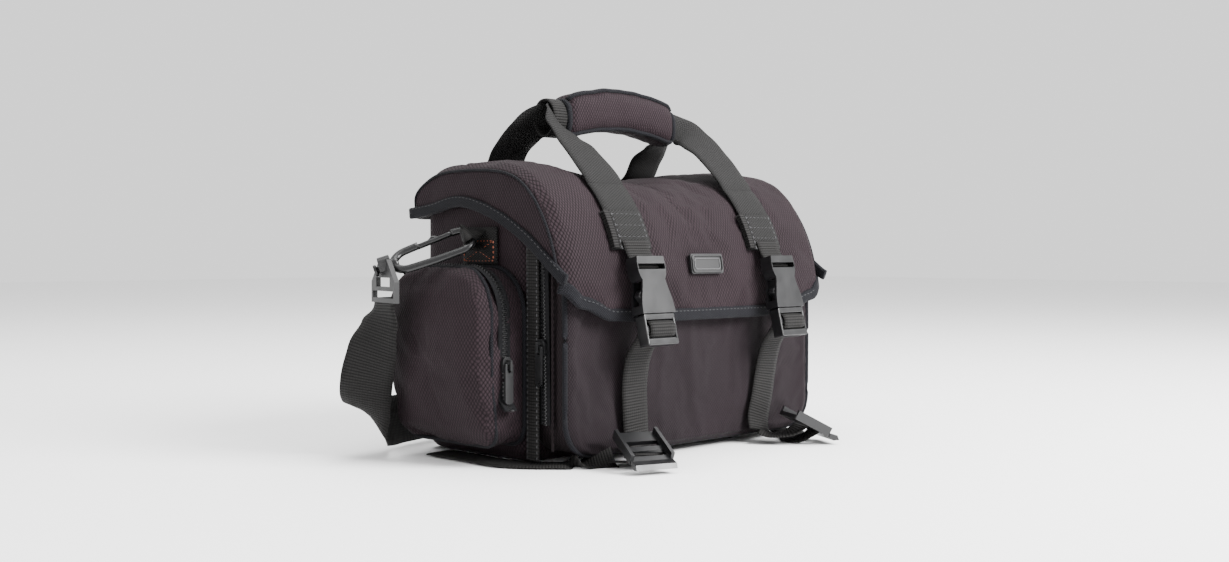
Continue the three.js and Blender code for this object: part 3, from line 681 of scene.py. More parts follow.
def pocket_edge(offset):
    """The pocket's outline in (x, z), from the top left down, along the base and up to the top right."""
    r = POCKET_R
    half, low = POCKET_HALF + offset, POCKET_Z0 - offset
    left = [(-half, POCKET_TOP - 3 - k * 5) for k in range(int((POCKET_TOP - 3 - low - r) / 5))]
    left += [(-half + r - r * math.cos(a), low + r - r * math.sin(a))
             for a in [math.pi / 2 * k / 10 for k in range(11)]]
    base = [(-half + r + (2 * (half - r)) * k / 40, low) for k in range(1, 40)]
    return left + base + [(-x, z) for x, z in reversed(left)]


def rim_y(x, z):
    """How far forward the front panel's edge lies at height z, on the side that x is on."""
    return pocket_front(math.copysign(pocket_half(max(z, POCKET_Z0 + 0.1)), x), z)


edge = pocket_edge(-0.6)
depth_rows = 14
pts = []
for k in range(depth_rows + 1):
    f = k / depth_rows
    for x, z in edge:
        front = rim_y(x, z)
        y = front + (POCKET_BACK - front) * f
        sag = 1.3 * math.sin(math.pi * f) + 0.7 * wrinkle((x, y, z), 18, 4)
        cx = -1 if x < 0 else 1
        side_part = min(1, max(0, (z - POCKET_Z0) / POCKET_R))
        pts.append((x - cx * sag * side_part, y, z + (1 - side_part) * 0.2 * sag))
gusset = outward(make("front_gusset", pts, grid_faces(depth_rows + 1, len(edge))))
solidify(gusset, 2.0)
dress(gusset, GUSSET, "bag")
piping = [(x, rim_y(x, z) - 0.3, z) for x, z in pocket_edge(-0.4)]
bind("front_panel_piping", piping, 1.9)
low_line = [(x, POCKET_BACK - 17, POCKET_Z0 + 1.0) for x in range(-104, 105, 8)]
bind("pocket_base_piping", low_line, 1.5)
seam = [(x * 0.965, y - 0.9, z + 1 + 5 * max(0, 1 - z / 40)) for x, y, z in piping]
bind("front_panel_seam", seam, 0.45, slot=None, sides=6)


ZIP_TAPE, ZIP_COIL, ZIP_PITCH = 10.5, 3.4, 1.3
BINDING_Y = -68.5    # the strip of webbing sewn over the corner seam between front pocket and side


def zipper(name, line, across, out, node):
    """A tape and its coil along the line; out is the outward direction at each point."""
    tape = ribbon(f"{name}_tape", [(p, across, ZIP_TAPE) for p in line], 1.0, 2.0)
    dress(tape, TAPE, "bag", (node,))
    raised = [tuple(Vector(p) + Vector(o).normalized() * 0.7) for p, o in zip(line, out)]
    count = int(path_length(raised) / ZIP_PITCH)
    run = curve_points(raised, count)
    w = Vector(across)
    ups = curve_points([Vector(o) * 10 for o in out], count)
    pts, faces = [], []
    for i, p in enumerate(run):
        up = ups[i].normalized()
        along = (run[min(i + 1, count)] - run[max(i - 1, 0)]).normalized()
        shift = 0.5 if i % 2 else -0.5
        base = len(pts)
        for a, b, c in ((-1, -1, 0), (1, -1, 0), (1, 1, 0), (-1, 1, 0), (-0.7, -0.6, 1), (0.7, -0.6, 1),
                        (0.7, 0.6, 1), (-0.7, 0.6, 1)):
            pts.append(p + w * (a * ZIP_COIL / 2 + shift) + along * b * 0.5 + up * c * 0.8)
        faces += [[base + k for k in f] for f in ((4, 5, 6, 7), (0, 1, 5, 4), (1, 2, 6, 5), (2, 3, 7, 6),
                                                  (3, 0, 4, 7))]
    dress(make(f"{name}_coil", pts, faces, smooth=False), ZIP, "bag")


for side, sign in SIDES:
    y = middle(f"front_zipper_{side}", 1)
    x = sign * (abs(middle(f"front_zipper_{side}", 0)) + 0.1)
    line = [(x, y + 0.02 * (z - 100), z) for z in range(30, int(POCKET_TOP) - 3, 8)]
    zipper(f"front_zip_line_{side}", line, (0, 1, 0), [(sign, 0, 0)] * len(line), f"front_zipper_{side}")
    for dy, label in ((-8.5, "fore"), (8.5, "aft")):
        seam = [(x - sign * 0.4, y + dy, z) for z in range(12, int(POCKET_TOP) - 3, 8)]
        dress(tube(f"front_gusset_fold_{label}_{side}", seam, 1.15, 8, up=(0, 1, 0)), GUSSET, "bag")
    strip = [((sign * (HALF_W + 1.0), BINDING_Y + 0.3 * wrinkle((0, 0, z), 30), z), (0, 1, 0), 12.5)
             for z in range(4, 160, 6)]
    web(f"side_binding_{side}", strip, 2.0, WEBBING)
    for dy, label in ((-4.9, "fore"), (4.9, "aft")):
        row = [(sign * (HALF_W + 2.1), BINDING_Y + dy, z) for z in range(5, 158, 6)]
        stitches(f"side_binding_stitch_{label}_{side}", row, (sign, 0, 0))
    tag = [((sign * (POCKET_HALF + 2.6), y + 12 - k * 4.2, 76 - k * 0.8), (0, 0, 1), 10.5) for k in range(4)]
    web(f"zip_end_tab_{side}", tag, 1.3, TAPE)

# ------------------------------------------------------------------ side pockets
SIDE_LOW, SIDE_HIGH = box_mm("side_pocket_right")
COVER_HIGH = box_mm("side_cover_right")[1]
SY0, SY1, SZ0, SZ1 = SIDE_LOW[1], SIDE_HIGH[1], SIDE_LOW[2], SIDE_HIGH[2]
SX0, SX1 = SIDE_LOW[0], COVER_HIGH[0]
SIDE_RADII = (14, 14, 22, 34)


def side_outline(d, count=120):
    """The pocket's outline in (y, z), grown inwards by d, from the lower front anticlockwise."""
    a, b, c, e = [max(2, r - d) for r in SIDE_RADII]
    y0, y1, z0, z1 = SY0 + d, SY1 - d, SZ0 + d, SZ1 - d
    line = []
    for (cy, cz, r, start) in ((y1 - b, z0 + b, b, -90), (y1 - c, z1 - c, c, 0), (y0 + e, z1 - e, e, 90),
                               (y0 + a, z0 + a, a, 180)):
        line += [(cy + r * math.cos(a), cz + r * math.sin(a))
                 for a in [math.radians(start + 9 * k) for k in range(11)]]
    line.append(line[0])
    run = [0.0]
    for p, q in zip(line, line[1:]):
        run.append(run[-1] + math.hypot(q[0] - p[0], q[1] - p[1]))
    out, k = [], 0
    for i in range(count):
        want = run[-1] * i / count
        while run[k + 1] < want:
            k += 1
        f = (want - run[k]) / (run[k + 1] - run[k])
        out.append((line[k][0] * (1 - f) + line[k + 1][0] * f, line[k][1] * (1 - f) + line[k + 1][1] * f))
    return out


LEAN = [(SZ0, 17), (30, 9), (60, 2), (90, 0), (115, 1), (130, 5), (SZ1, 11)]


def side_pocket(side, sign):
    outline = side_outline(0.8)
    n = len(outline)
    cy, cz = (SY0 + SY1) / 2, (SZ0 + SZ1) / 2 - 2
    stations = [(SX0 + (SX1 - 19 - SX0) * k / 14, 1.0) for k in range(15)]
    stations += [(SX1 - 19 + 12 * math.sin(a), 1 - 0.09 * (1 - math.cos(a)))
                 for a in [math.pi / 2 * k / 6 for k in range(1, 7)]]
    stations += [(SX1 - 7 + 5.2 * (1 - (1 - k / 14) ** 2), 0.91 * (1 - k / 14.6)) for k in range(1, 15)]
    pts = []
    for x, r in stations:
        reach = (x - SX0) / (SX1 - SX0)
        for y, z in outline:
            yy, zz = cy + (y - cy) * r, cz + (z - cz) * r
            lean = step_through(LEAN, zz) * reach ** 2
            low = max(0, 1 - (zz - SZ0) / 60)
            fold = (1.1 + 1.8 * low) * wrinkle((x * 0.7, yy * 0.9 + zz * 0.7, zz * 0.6), 17, 6 + sign)
            fold += 0.6 * wrinkle((x, yy, zz), 9, 2)
            hold = min(1, reach * 4)
            xx = x - lean + fold * hold * (1 - r * 0.45) - 0.6
            pts.append((sign * xx, yy, zz + 0.5 * fold * hold * r))
    faces = grid_faces(len(stations), n, wrap=True)
    faces.append(tuple(range((len(stations) - 1) * n, len(stations) * n)))
    obj = outward(make(f"side_pocket_shell_{side}", pts, faces))
    settle(obj, lambda p: abs(p.x) < SX0 + 4, 2.0, -0.02, 3.0)
    solidify(obj, 2.0)
    dress(obj, SHELL, "bag", (f"side_pocket_{side}", f"side_cover_{side}"))
    ridge = [(sign * (SX1 - 18.5 - step_through(LEAN, z) * 0.4), y, z) for y, z in side_outline(0.2)]
    bind(f"side_pocket_piping_{side}", ridge, 1.5, closed=True, up=RIGHT)
    root = [(sign * (SX0 + 1.2), y, z) for y, z in side_outline(-0.2)]
    bind(f"side_pocket_root_{side}", root, 1.7, closed=True, up=RIGHT)
    arch = [(y, z) for y, z in side_outline(-1.2) if z > (42 if y < (SY0 + SY1) / 2 else SZ1 - 12)]
    arch.sort(key=lambda p: math.atan2(p[1] - 60, p[0] - 8))
    mid_x = abs(middle(f"side_zipper_{side}", 0))
    line = [(sign * mid_x, y, z) for y, z in arch]
    out = []
    for y, z in arch:
        if z < SZ1 - 36:
            out.append((0, -1, 0))
        elif y > SY0 + 36:
            out.append((0, 0, 1))
        else:
            out.append(tuple(Vector((0, y - 5, z - 75)).normalized()))
    zipper(f"side_zip_line_{side}", line, RIGHT, out, f"side_zipper_{side}")


for side, sign in SIDES:
    side_pocket(side, sign)

# ------------------------------------------------------------------ lid
HEM_FRONT = 101
FRONT_LINE = [(-107.2, 97), (-106.5, 118), (-103.5, 140), (-97, 161), (-87, 180), (-73, 197), (-54, 209),
              (-24, 214.4), (24, 214.4), (48, 208), (65.2, 195), (65.4, 175)]
HEM_LINE = [(69, 175), (40, 178), (6, 183), (-31, 174), (-67, 156), (-101, 131), (-108, 127)]


def front_hem(x):
    return step_through([(0, HEM_FRONT), (60, HEM_FRONT), (100, HEM_FRONT + 2), (128, 112), (LID_HALF, 124)],
                        abs(x))


def smooth_outline(line, count):
    """count + 1 points at even steps along a smooth curve through the (y, z) points of line."""
    return [(p.x, p.y) for p in curve_points([(y, z, 0) for y, z in line], count)]


SECTION = smooth_outline(FRONT_LINE, 96)
HEM = smooth_outline(HEM_LINE, 60)


def lid_point(x, k):
    """A point of the lid's cloth: k runs from 0 at the front hem to 1 at the hinge."""
    hem = front_hem(x)
    first = next(i for i, (y, z) in enumerate(SECTION) if z >= hem)
    before, after = SECTION[first - 1][1], SECTION[first][1]
    start = first - 1 + (hem - before) / (after - before)
    s = start + (len(SECTION) - 1 - start) * k
    i = min(int(s), len(SECTION) - 2)
    f = s - i
    y = SECTION[i][0] * (1 - f) + SECTION[i + 1][0] * f
    z = SECTION[i][1] * (1 - f) + SECTION[i + 1][1] * f
    a, b = SECTION[max(i - 2, 0)], SECTION[min(i + 3, len(SECTION) - 1)]
    ty, tz = b[0] - a[0], b[1] - a[1]
    length = math.hypot(ty, tz)
    ny, nz = -tz / length, ty / length
    edge = LID_HALF - abs(x)
    roll = 5.5 * max(0, 1 - edge / 13) ** 2.2
    top = max(0.0, min(1.0, (z - 185) / 26))
    middle = max(0.0, 1 - (abs(x + 8) / 92) ** 2)
    shoulder = math.exp(-((abs(x) - 78) / 26) ** 2)
    sag = top * (11 * middle ** 1.1 - 1.5 * shoulder)
    crease = 0.9 * wrinkle((x * 0.6, y, z), 30, 9) + 0.45 * wrinkle((x, y, z), 13, 1)
    off = -0.5 - roll + crease * min(1, edge / 12)
    return (x, y + ny * off, z + nz * off - sag)


def lid_x(u):
    return u * (LID_HALF - 0.4)


def lid_held(p):
    """True along the lid's sewn edges, under its straps and under the badge."""
    at_edge = abs(p.x) > LID_HALF - 8 or p.z < front_hem(p.x) + 4 or p.y > HINGE_Y - 4
    at_strap = abs(abs(p.x) - STRAP_X) < 20 and p.z > 100
    at_badge = abs(p.x) < 23 and p.y < -90 and 128 < p.z < 154
    return at_edge or at_strap or at_badge


rows, cols = 84, 100
pts = [lid_point(lid_x(-1 + 2 * j / cols), i / rows) for i in range(rows + 1) for j in range(cols + 1)]
top = facing(make("lid_top", pts, grid_faces(rows + 1, cols + 1)), (0, 0, 1))
settle(top, lid_held, 2.2, -0.018, 4.0)
solidify(top, 2.4, faces=(SHELL, DIVIDER))
dress(top, SHELL, "lid", ("lid",))


def hem_at(y):
    return min(HEM, key=lambda p: abs(p[0] - y))[1]


for side, sign in SIDES:
    edge_points = [lid_point(sign * (LID_HALF - 0.4), k / rows) for k in range(rows + 1)]
    grid, rings = [], 12
    for _, y, z in edge_points:
        low_z = min(z, hem_at(y))
        for k in range(rings + 1):
            f = k / rings
            zz = z + (low_z - z) * f
            out = -0.2 + 1.1 * math.sin(math.pi * f) * min(1, (z - low_z) / 30)
            out += 0.9 * wrinkle((0, y, zz), 16, 7) * min(1, (z - low_z) / 15)
            grid.append((sign * (LID_HALF - 0.9 + out), y, zz))
    cheek = facing(make(f"lid_cheek_{side}", grid, grid_faces(rows + 1, rings + 1)), (sign, 0, 0))
    solidify(cheek, 2.2, faces=(SHELL, DIVIDER))
    dress(cheek, SHELL, "lid")
    bind(f"lid_seam_{side}", edge_points[2:], 1.0, "lid", slot=None, up=RIGHT)
    hem = [(sign * (LID_HALF + 0.3), y, z + 4.0) for y, z in HEM if z <= 200 and y < 66]
    ups = []
    for i, p in enumerate(hem):
        a, b = Vector(hem[max(i - 1, 0)]), Vector(hem[min(i + 1, len(hem) - 1)])
        t = (b - a).normalized()
        ups.append(tuple(Vector((sign, 0, 0)).cross(t)))
    web(f"side_hem_{side}", [(p, u, 8.2) for p, u in zip(hem, ups)], 3.4, BINDING, "lid")
    row = [tuple(Vector(p) + Vector((sign * 1.9, 0, 0)) + Vector(u) * math.copysign(3, u[2]))
           for p, u in zip(hem, ups)]
    stitches(f"side_hem_stitch_{side}", row[::3], (sign, 0, 0), body="lid")

hem_front = []
for j in range(0, 61):
    x = lid_x(-1 + 2 * j / 60)
    p = Vector(lid_point(x, 0.0))
    q = Vector(lid_point(x, 0.05))
    hem_front.append((p + (q - p).normalized() * 3.0, (q - p).normalized()))
stations = [(tuple(p), tuple(d), 9.0) for p, d in hem_front]
web("front_hem", stations, 4.0, BINDING, "lid")
row = [tuple(p + d * 2.6 + Vector((0, -2.3, 0))) for p, d in hem_front]
stitches("front_hem_stitch", row[::3], (0, -1, 0), body="lid")

# ------------------------------------------------------------------ straps
BUCKLE_TOP, BUCKLE_TILT, FEMALE_T, FEMALE_L, PLUG_L = (-107.5, 146), 0.24, 11, 41, 22


def lid_line(x, low, high, off):
    """Points (y, z) just outside the lid's front, going up, at a constant x."""
    line = []
    for i in range(1, len(SECTION) - 1):
        (y, z), (a, b) = SECTION[i], (SECTION[i - 1], SECTION[i + 1])
        if y > 20 or not low < z < high:
            continue
        n = math.hypot(b[0] - a[0], b[1] - a[1])
        line.append((x, y - (b[1] - a[1]) / n * off, z + (b[0] - a[0]) / n * off))
    return line


def flat(points, width, every=1):
    """Stations of a strap of one width that lies square across x, at every few of the points and the last."""
    last = [points[-1]] if (len(points) - 1) % every else []
    return [(p, RIGHT, width) for p in points[::every] + last]


GRIP_HALF, GRIP_Y = 59, -6
for side, sign in SIDES:
    x = sign * STRAP_X
    lap = lid_line(x, BUCKLE_TOP[1] + 3, 199, 1.9)
    web(f"lid_web_{side}", flat(lap, WIDE_WEB, 3), WEB_T, WIDE, "lid", (f"lid_strap_{side}",))
    patch = lid_line(x, 149, 179, 3.6)
    web(f"sewn_patch_{side}", flat(patch, WIDE_WEB - 2.5, 3), 1.7, WIDE, "lid")
    for k in range(4):
        stack = lid_line(x - WIDE_WEB / 2 - 1.2, 150, 179, 1.4 + 1.1 * k)
        web(f"patch_edge_{side}_{k}", flat(stack, 5.0, 4), 0.9, WEBBING, "lid")
    for dx, label in ((-14, "a"), (14, "b")):
        row = [p for p, _, _ in flat(lid_line(x + dx, 150, 178, 4.5), 1, 3)]
        stitches(f"patch_stitch_{label}_{side}", row, (0, -1, 0.35), body="lid")
    ends = lid_line(x, 149, 179, 4.5)
    for f, label in ((0.03, "low"), (0.35, "mid"), (0.65, "high"), (0.97, "top")):
        p = Vector(ends[int(f * (len(ends) - 1))])
        row = [tuple(p + Vector((dx, 0, 0))) for dx in (-14, -5, 5, 14)]
        stitches(f"patch_bar_{label}_{side}", row, (0, -1, 0.35), body="lid")
    top_y = BUCKLE_TOP[0]
    strap_low = [((x, top_y + dy, z), RIGHT, width) for dy, z, width in
                 ((3.8, 158, 26), (0.6, 150, 25), (-4.6, 143, 25), (-7.6, 138.5, 25))]
    web(f"buckle_web_{side}", strap_low, 2.0, WEBBING, "lid")

    c, s = math.cos(BUCKLE_TILT), math.sin(BUCKLE_TILT)
    along = FEMALE_L + PLUG_L + 1.4
    foot = (BUCKLE_TOP[0] - FEMALE_T / 2 - along * s, BUCKLE_TOP[1] - along * c)
    wrap_up = (BUCKLE_TOP[0] - FEMALE_T / 2 - (FEMALE_L + 8) * s, BUCKLE_TOP[1] - (FEMALE_L + 8) * c)
    drift = -12 if sign > 0 else 3    # the foot's shift in x: each strap runs to its own ladder lock
    wy = PANEL_Y - 1.6
    lower = [(x, wrap_up[0] + 3.0, wrap_up[1] + 1.0, 0), (x, wrap_up[0] + 6.5, wrap_up[1] - 7, 0),
             (x, wy - 7.5, 79, 0), (x, wy - 3.6, 68, 0), (x + drift * 0.1, wy - 1.4, 54, -0.03),
             (x + drift * 0.35, wy - 1.0, 38, -0.1), (x + drift * 0.8, wy - 1.2, 20, -0.2),
             (x + drift, wy - 4.5, 10, -0.25)]
    span(f"lower_web_{side}", [((a, b, h), (1, 0, twist), NARROW_WEB) for a, b, h, twist in lower], WEBBING,
         f"lower_strap_{side}", ("bag", f"plug_{side}"), (x, wy, 30), (x, *foot))
    n = Vector((0, -c, s))
    mid = Vector((x, wrap_up[0], wrap_up[1]))
    down = Vector((0, -s, -c))
    wrap = [tuple(mid + n * h + down * d) for h, d in
            ((-3.0, -2.0), (2.0, -2.6), (5.7, -0.5), (5.9, 3.5), (4.6, 7.6), (0.5, 8.6), (-4.6, 7.0))]
    web(f"plug_wrap_{side}", flat(wrap, NARROW_WEB), 1.7, WEBBING, f"plug_{side}")

TAIL_Z = 1.4
tails = {
    "left": [(-98, -106, 0.75, -0.66, 4), (-112, -97, 0.75, -0.66, 1.4), (-126, -86, 0.75, -0.66, TAIL_Z),
             (-150, -56, 1, -0.2, TAIL_Z), (-153, -20, 1, 0, 1.8), (-153, 22, 1, 0, 1.5)],
    "right": [(108, -106, 0.8, -0.6, 2.6), (120, -92, 0.8, -0.6, TAIL_Z), (132, -76, 0.8, -0.6, 1.6)],
}
for side, sign in SIDES:
    tail = [((a, b, h), (p, q, 0), NARROW_WEB) for a, b, p, q, h in tails[side]]
    web(f"tail_web_{side}", tail, WEB_T - 0.2, WEBBING, replaces=(f"strap_tail_{side}",), lumps=0.3)

# ------------------------------------------------------------------ carrying handle
RY, RZ = min((p for p in SECTION if p[1] > 190), key=lambda p: abs(p[0] - 42))
for side, sign in SIDES:
    _, fy, fz = lid_line(sign * STRAP_X, 149, 199, 1.9)[-1]
    legs = {
        "front": [(GRIP_HALF + 1, GRIP_Y - 4, 255, 0, 0.25, 0.97, 24),
                  (GRIP_HALF + 11, GRIP_Y - 9, 251, 0.25, 0.4, 0.88, 27),
                  (GRIP_HALF + 16, GRIP_Y - 22, 242, 0.85, 0.2, 0.45, 34),
                  (STRAP_X + 1, -46, 228, 1, 0, 0.1, WIDE_WEB),
                  (STRAP_X, fy + 6, fz + 8, *RIGHT, WIDE_WEB),
                  (STRAP_X, fy - 0.6, fz - 1.0, *RIGHT, WIDE_WEB)],
        "rear": [(GRIP_HALF + 1, GRIP_Y + 4, 255, 0, -0.25, 0.97, 24),
                 (GRIP_HALF + 11, GRIP_Y + 9, 251, 0.25, -0.4, 0.88, 27),
                 (GRIP_HALF + 16, GRIP_Y + 20, 243, 0.8, -0.2, 0.4, 32),
                 (STRAP_X + 2, 30, 229, *RIGHT, WIDE_WEB),
                 (STRAP_X + 2, RY - 3, RZ + 4.5, *RIGHT, WIDE_WEB),
                 (STRAP_X + 2, RY + 9, RZ - 3.0, *RIGHT, WIDE_WEB)]}
    for label, leg in legs.items():
        leg = [((sign * x, y, z), (sign * a, b, c), width) for x, y, z, a, b, c, width in leg]
        span(f"leg_web_{label}_{side}", leg, WIDE, f"handle_{label}_leg_{side}", ("lid", "handle"),
             leg[-1][0], leg[1][0])

GRIP_SIDES = 40


def grip_ring(x, grow=0.0):
    """One section of the padded grip, at x from the middle."""
    f = min(1.0, abs(x) / GRIP_HALF)
    z0 = 262 - 9 * f * f
    end = max(0.0, (f - 0.86) / 0.14)
    size = 1 - 0.30 * end ** 2.2
    ring = []
    for k in range(GRIP_SIDES):
        ang = 2 * math.pi * k / GRIP_SIDES
        cy, sz = math.cos(ang), math.sin(ang)
        flat_y = math.copysign(abs(cy) ** 0.68, cy)
        flat_z = math.copysign(abs(sz) ** 0.68, sz)
        bump = 0.7 * wrinkle((x, cy * 14, sz * 14), 13, 4)
        ring.append((x, GRIP_Y + flat_y * (15.4 * size + grow + bump),
                     z0 + flat_z * (16.4 * size + grow + bump)))
    return ring


stations = [-GRIP_HALF + 2 * GRIP_HALF * k / 60 for k in range(61)]
pts = [p for x in stations for p in grip_ring(x)]
faces = grid_faces(61, GRIP_SIDES, wrap=True)
faces += [tuple(reversed(range(GRIP_SIDES))), tuple(range(60 * GRIP_SIDES, 61 * GRIP_SIDES))]
grip = outward(make("grip_pad", pts, faces))
dress(grip, SHELL, "handle", ("handle_grip",))
for label, x in (("left", -GRIP_HALF + 0.5), ("right", GRIP_HALF - 0.5)):
    bind(f"grip_end_binding_{label}", grip_ring(x, 0.5), 2.6, "handle", closed=True, up=RIGHT,
         squash=(0.9, 1))
for label, k in (("top", 13), ("under", 26), ("back", 36)):
    edge_line = [grip_ring(x, 0.5)[k] for x in stations[1:-1]]
    bind(f"grip_edge_{label}", edge_line, 2.3, "handle", squash=(1.25, 0.8))
keep_x = -GRIP_HALF - 8
loop = [(keep_x, GRIP_Y + 11.5 * math.cos(a), 252.5 + 14 * math.sin(a)) for a in
        [2 * math.pi * k / 24 for k in range(25)]]
web("grip_keeper", flat(loop, 15), 2.0, WEBBING, "handle")

# ------------------------------------------------------------------ shoulder strap
EYE_X, EYE_Y = middle("strap_eye_left", 0), middle("strap_eye_left", 1)
EYE_FOOT = box_mm("strap_eye_left")[0][2]
STRAP_Z = SHOULDER_WEB / 2 + 2.4
RUN = [((EYE_X, EYE_Y, EYE_FOOT + 4), (-0.24, -0.97, 0)),
       ((EYE_X - 1, EYE_Y, EYE_FOOT - 3), (-0.24, -0.97, 0)),
       ((-204, EYE_Y + 1, EYE_FOOT - 16), (0.12, -0.99, 0)), ((-208, 29, 78), (0.5, -0.87, 0)),
       ((-208, 36, 56), (0.68, -0.73, -0.05)), ((-202, 45, 38), (0.66, -0.62, -0.42)),
       ((-186, 57, 26), (0.4, -0.37, -0.84)), ((-166, 69, 22), (0.12, -0.12, -1)),
       ((-140, 80, STRAP_Z), (0, 0, -1)), ((-105, 90, STRAP_Z), (0, 0, -1)),
       ((-60, 97, STRAP_Z), (0, 0, -1)), ((-1.0, 99, STRAP_Z), (0, 0, -1))]
for side, sign in SIDES:
    stations = [((-sign * p[0], p[1], p[2]), (-sign * w[0], w[1], w[2]), SHOULDER_WEB) for p, w in RUN]
    held = (-sign * EYE_X, EYE_Y)
    span(f"shoulder_web_{side}", stations, WEBBING, f"shoulder_strap_{side}", (f"eye_{side}", "bag"),
         (*held, EYE_FOOT - 5), (*held, 50))

# ------------------------------------------------------------------ webbing through the ladder locks
LOCK_WEB = {
    "left": [(-72, -106.5, 10, 1, 0, -0.2), (-78, -113, 6, 1, -0.1, 0), (-88, -123, 9, 0.94, -0.34, 0),
             (-95, -131, 15, 0.94, -0.34, 0), (-98, -138, 11, 0.94, -0.34, 0), (-97, -133, 7, 0.9, -0.42, 0),
             (-93, -121, 4.2, 0.82, -0.57, 0), (-98, -106, 2.8, 0.75, -0.66, 0)],
    "right": [(63, -106.5, 10, 1, 0, -0.25), (68, -114, 6, 0.85, 0.5, 0), (77, -126, 9, 0.5, 0.86, 0),
              (86, -132, 15, 0.5, 0.86, 0), (93, -136, 12, 0.5, 0.86, 0), (90, -131, 6.5, 0.55, 0.83, 0),
              (92, -120, 3.6, 0.8, 0.5, 0), (108, -106, 2.4, 0.8, -0.6, 0)],
}
for side, sign in SIDES:
    run = [((a, b, h), (p, q, r), NARROW_WEB) for a, b, h, p, q, r in LOCK_WEB[side]]
    web(f"lock_web_{side}", run, WEB_T - 0.4, WEBBING, lumps=0.05)

# ------------------------------------------------------------------ snap hooks and their webbing loops
HOOK_LENGTH, HOOK_HALF, HOOK_ROLL = 58, 12, math.radians(38)


def hook_axes():
    """The left hook's upper end, its lengthwise direction and its rolled crosswise direction."""
    low, high = box_mm("snap_hook_left")
    tip = Vector((high[0] - 9.0, low[1] + 10.5, high[2] - 4.0))
    hub = Vector((EYE_X, EYE_Y, low[2] + 4.5))
    run = (hub - tip).normalized()
    flat = Vector((-run.y, run.x, 0)).normalized()
    rise = run.cross(flat).normalized()
    if rise.z < 0:
        rise = -rise
    if flat.x < 0:
        flat = -flat
    across = flat * math.cos(HOOK_ROLL) + rise * math.sin(HOOK_ROLL)
    return tip, run, across


def mirrored(points, sign):
    return [(-sign * p[0], p[1], p[2]) for p in points]


for side, sign in SIDES:
    tip, run, across = hook_axes()
    mid = tip + run * (HOOK_LENGTH / 2 - 4)
    half_l = HOOK_LENGTH / 2
    normal = run.cross(across)
    ring = [mid + run * u + across * v * (1 - 0.18 * max(0, u / half_l)) for u, v, _, _ in
            rounded_rect(half_l, HOOK_HALF, 10, 80)]
    body = [p for p in ring if not ((p - mid).dot(across) > HOOK_HALF * 0.7 and -16 < (p - mid).dot(run) < 9)]
    start = max(range(len(body)), key=lambda i: (body[i] - body[i - 1]).length)
    body = body[start:] + body[:start]
    hook = tube(f"hook_ring_{side}", mirrored(body, sign), 2.9, 12, up=tuple(mirrored([normal], sign)[0]),
                squash=(1.15, 0.85))
    dress(hook, METAL, "bag", (f"snap_hook_{side}",))
    a, b = mid + run * 10 + across * (HOOK_HALF - 2.2), mid - run * 17 + across * (HOOK_HALF - 0.6)
    gate = tube(f"hook_gate_bar_{side}", mirrored([a.lerp(b, k / 8) for k in range(9)], sign), 2.0, 12)
    dress(gate, METAL, f"gate_{side}", (f"hook_gate_{side}",))
    thumb = [a.lerp(b, 0.35) + across * 1.5, a.lerp(b, 0.45) + across * 4.2, a.lerp(b, 0.6) + across * 1.5]
    dress(tube(f"hook_thumb_{side}", mirrored(thumb, sign), 1.5, 8), METAL, f"gate_{side}")
    end = mid + run * half_l
    for k, (t0, t1, r) in enumerate(((-3, 3, 4.2), (3, 13, 2.6), (13, 15, 4.4))):
        part = [end + run * (t0 + (t1 - t0) * f / 3) for f in range(4)]
        dress(tube(f"hook_post_{side}_{k}", mirrored(part, sign), r, 16), METAL, "bag")
    bar = tip - run * 3.0
    wall_x = -(HALF_W + 1.6)
    loop_pts = []
    for k in range(13):
        ang = math.radians(100 - 200 * k / 12)
        loop_pts.append(bar - run * math.cos(ang) * -5.2 + normal * math.sin(ang) * 5.2)
    up_end, low_end = Vector((wall_x, bar.y + 4, bar.z + 5)), Vector((wall_x, bar.y + 4, bar.z - 7))
    first, last = (up_end, low_end) if loop_pts[0].z > loop_pts[-1].z else (low_end, up_end)
    path = [first] + loop_pts[1:-1:2] + [last]
    ways = [Vector((0, 1, 0))] + [across] * (len(path) - 2) + [Vector((0, 1, 0))]
    stations = [(p, w, 17) for p, w in zip(mirrored(path, sign), mirrored(ways, sign))]
    web(f"tab_loop_{side}", stations, 1.8, WEBBING, step=1.5, lumps=0.02)
    patch = [((sign * (HALF_W + 1.9), -12, z), (0, 1, 0), 38) for z in range(141, 169, 3)]
    web(f"tab_patch_{side}", patch, 2.4, WIDE, replaces=(f"side_tab_{side}",))

# ------------------------------------------------------------------ side tab stitching
for side, sign in SIDES:
    px = sign * (HALF_W + 3.2)
    y0, y1, z0, z1 = -28, 5, 143.5, 158
    corners = [Vector((px, y0, z0)), Vector((px, y1, z0)), Vector((px, y1, z1)), Vector((px, y0, z1))]
    seams = [(f"tab_box_{side}_{k}", corners[k], corners[(k + 1) % 4]) for k in range(4)]
    seams += [(f"tab_cross_{side}_{k}", corners[k], corners[k + 2]) for k in range(2)]
    for name, a, b in seams:
        row = [tuple(a.lerp(b, t / 4)) for t in range(5)]
        stitches(name, row, (sign, 0, 0), 2.2, 1.4, 0.45, ORANGE)

# ------------------------------------------------------------------ badge
badge_low, badge_high = box_mm("badge")
BADGE_TILT = BUCKLE_TILT * 0.6
badge_up = Vector((0, math.sin(BADGE_TILT), math.cos(BADGE_TILT)))
badge_out = Vector((0, -math.cos(BADGE_TILT), math.sin(BADGE_TILT)))
badge_mid = Vector((0, badge_low[1] + 1.2, (badge_low[2] + badge_high[2]) / 2))


def badge_ring(half_w, half_h, lift):
    return [tuple(badge_mid + Vector((u, 0, 0)) + badge_up * v + badge_out * lift)
            for u, v, _, _ in rounded_rect(half_w, half_h, 2, 64)]


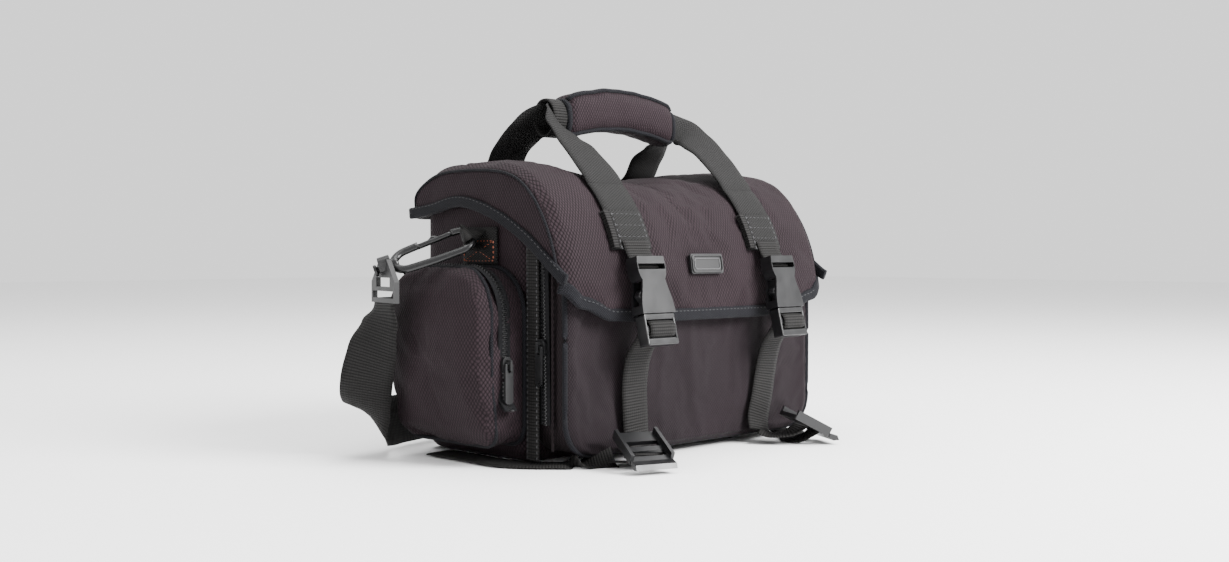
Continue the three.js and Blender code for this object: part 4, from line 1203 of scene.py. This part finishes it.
dress(tube("badge_border", badge_ring(16.6, 6.2, 0.6), 0.7, 8, closed=True), RUBBER, "lid")
dress(tube("badge_inner_line", badge_ring(14.2, 4.0, 0.4), 0.35, 8, closed=True), PALE, "lid")

# ------------------------------------------------------------------ moulded and metal parts of the frame
FITTINGS = {"buckle": (PLASTIC, 1.0), "ladder": (PLASTIC, 0.9), "strap_eye": (RUBBER, 0.8),
            "strap_slider": (PLASTIC, 0.7), "snap_hook": (METAL, 1.3), "hook_gate": (METAL, 0.9),
            "front_zip_": (ZIP, 0.45), "side_zip_": (ZIP, 0.45), "badge": (RUBBER, 0.5),
            "side_tab": (WEBBING, 0.5)}    # each kind's material and the width of its softened edges, in mm
for node, obj in frame["nodes"].items():
    kind = next((k for k in FITTINGS if node.startswith(k)), None)
    if kind is None or obj.hide_render:
        continue
    material, softened = FITTINGS[kind]
    obj.data.materials.clear()
    obj.data.materials.append(material)
    weld = obj.modifiers.new("weld", "WELD")
    weld.merge_threshold = 0.00002
    bevel = obj.modifiers.new("bevel", "BEVEL")
    bevel.width = softened * MM
    bevel.segments = 3
    bevel.limit_method = "ANGLE"
    bevel.angle_limit = math.radians(38)
    bevel.use_clamp_overlap = True
    obj.data.polygons.foreach_set("use_smooth", [False] * len(obj.data.polygons))

# ------------------------------------------------------------------ stage and light
FLOOR_HALF, FLOOR_Z = 6000, -0.2
corners = [(x * FLOOR_HALF, y * FLOOR_HALF, FLOOR_Z) for x, y in ((-1, -1), (1, -1), (1, 1), (-1, 1))]
floor = make("floor", corners, [(0, 1, 2, 3)], smooth=False)
pale = Nodes("studio_floor")
floor.data.materials.append(pale.finish((0.92, 0.92, 0.92), 0.9, 0.0, 0.1))

world = bpy.data.worlds.new("studio")
bpy.context.scene.world = world
world.use_nodes = True
world.node_tree.nodes["Background"].inputs[0].default_value = (1, 1, 1, 1)
world.node_tree.nodes["Background"].inputs[1].default_value = 1.35


def area_light(name, place, target, size, power):
    data = bpy.data.lights.new(name, "AREA")
    data.shape = "RECTANGLE"
    data.size, data.size_y = size
    data.energy = power
    lamp = bpy.data.objects.new(name, data)
    bpy.context.scene.collection.objects.link(lamp)
    lamp.location = place
    lamp.rotation_euler = (Vector(target) - Vector(place)).to_track_quat("-Z", "Y").to_euler()


area_light("key", (0.5, -1.5, 1.1), (0, 0, 0.14), (0.9, 0.9), 130)
area_light("left_fill", (-1.9, 0.9, 0.8), (0, 0, 0.1), (0.8, 1.0), 12)
area_light("top", (0.2, 0.1, 2.0), (0, 0, 0.15), (1.5, 1.5), 50)
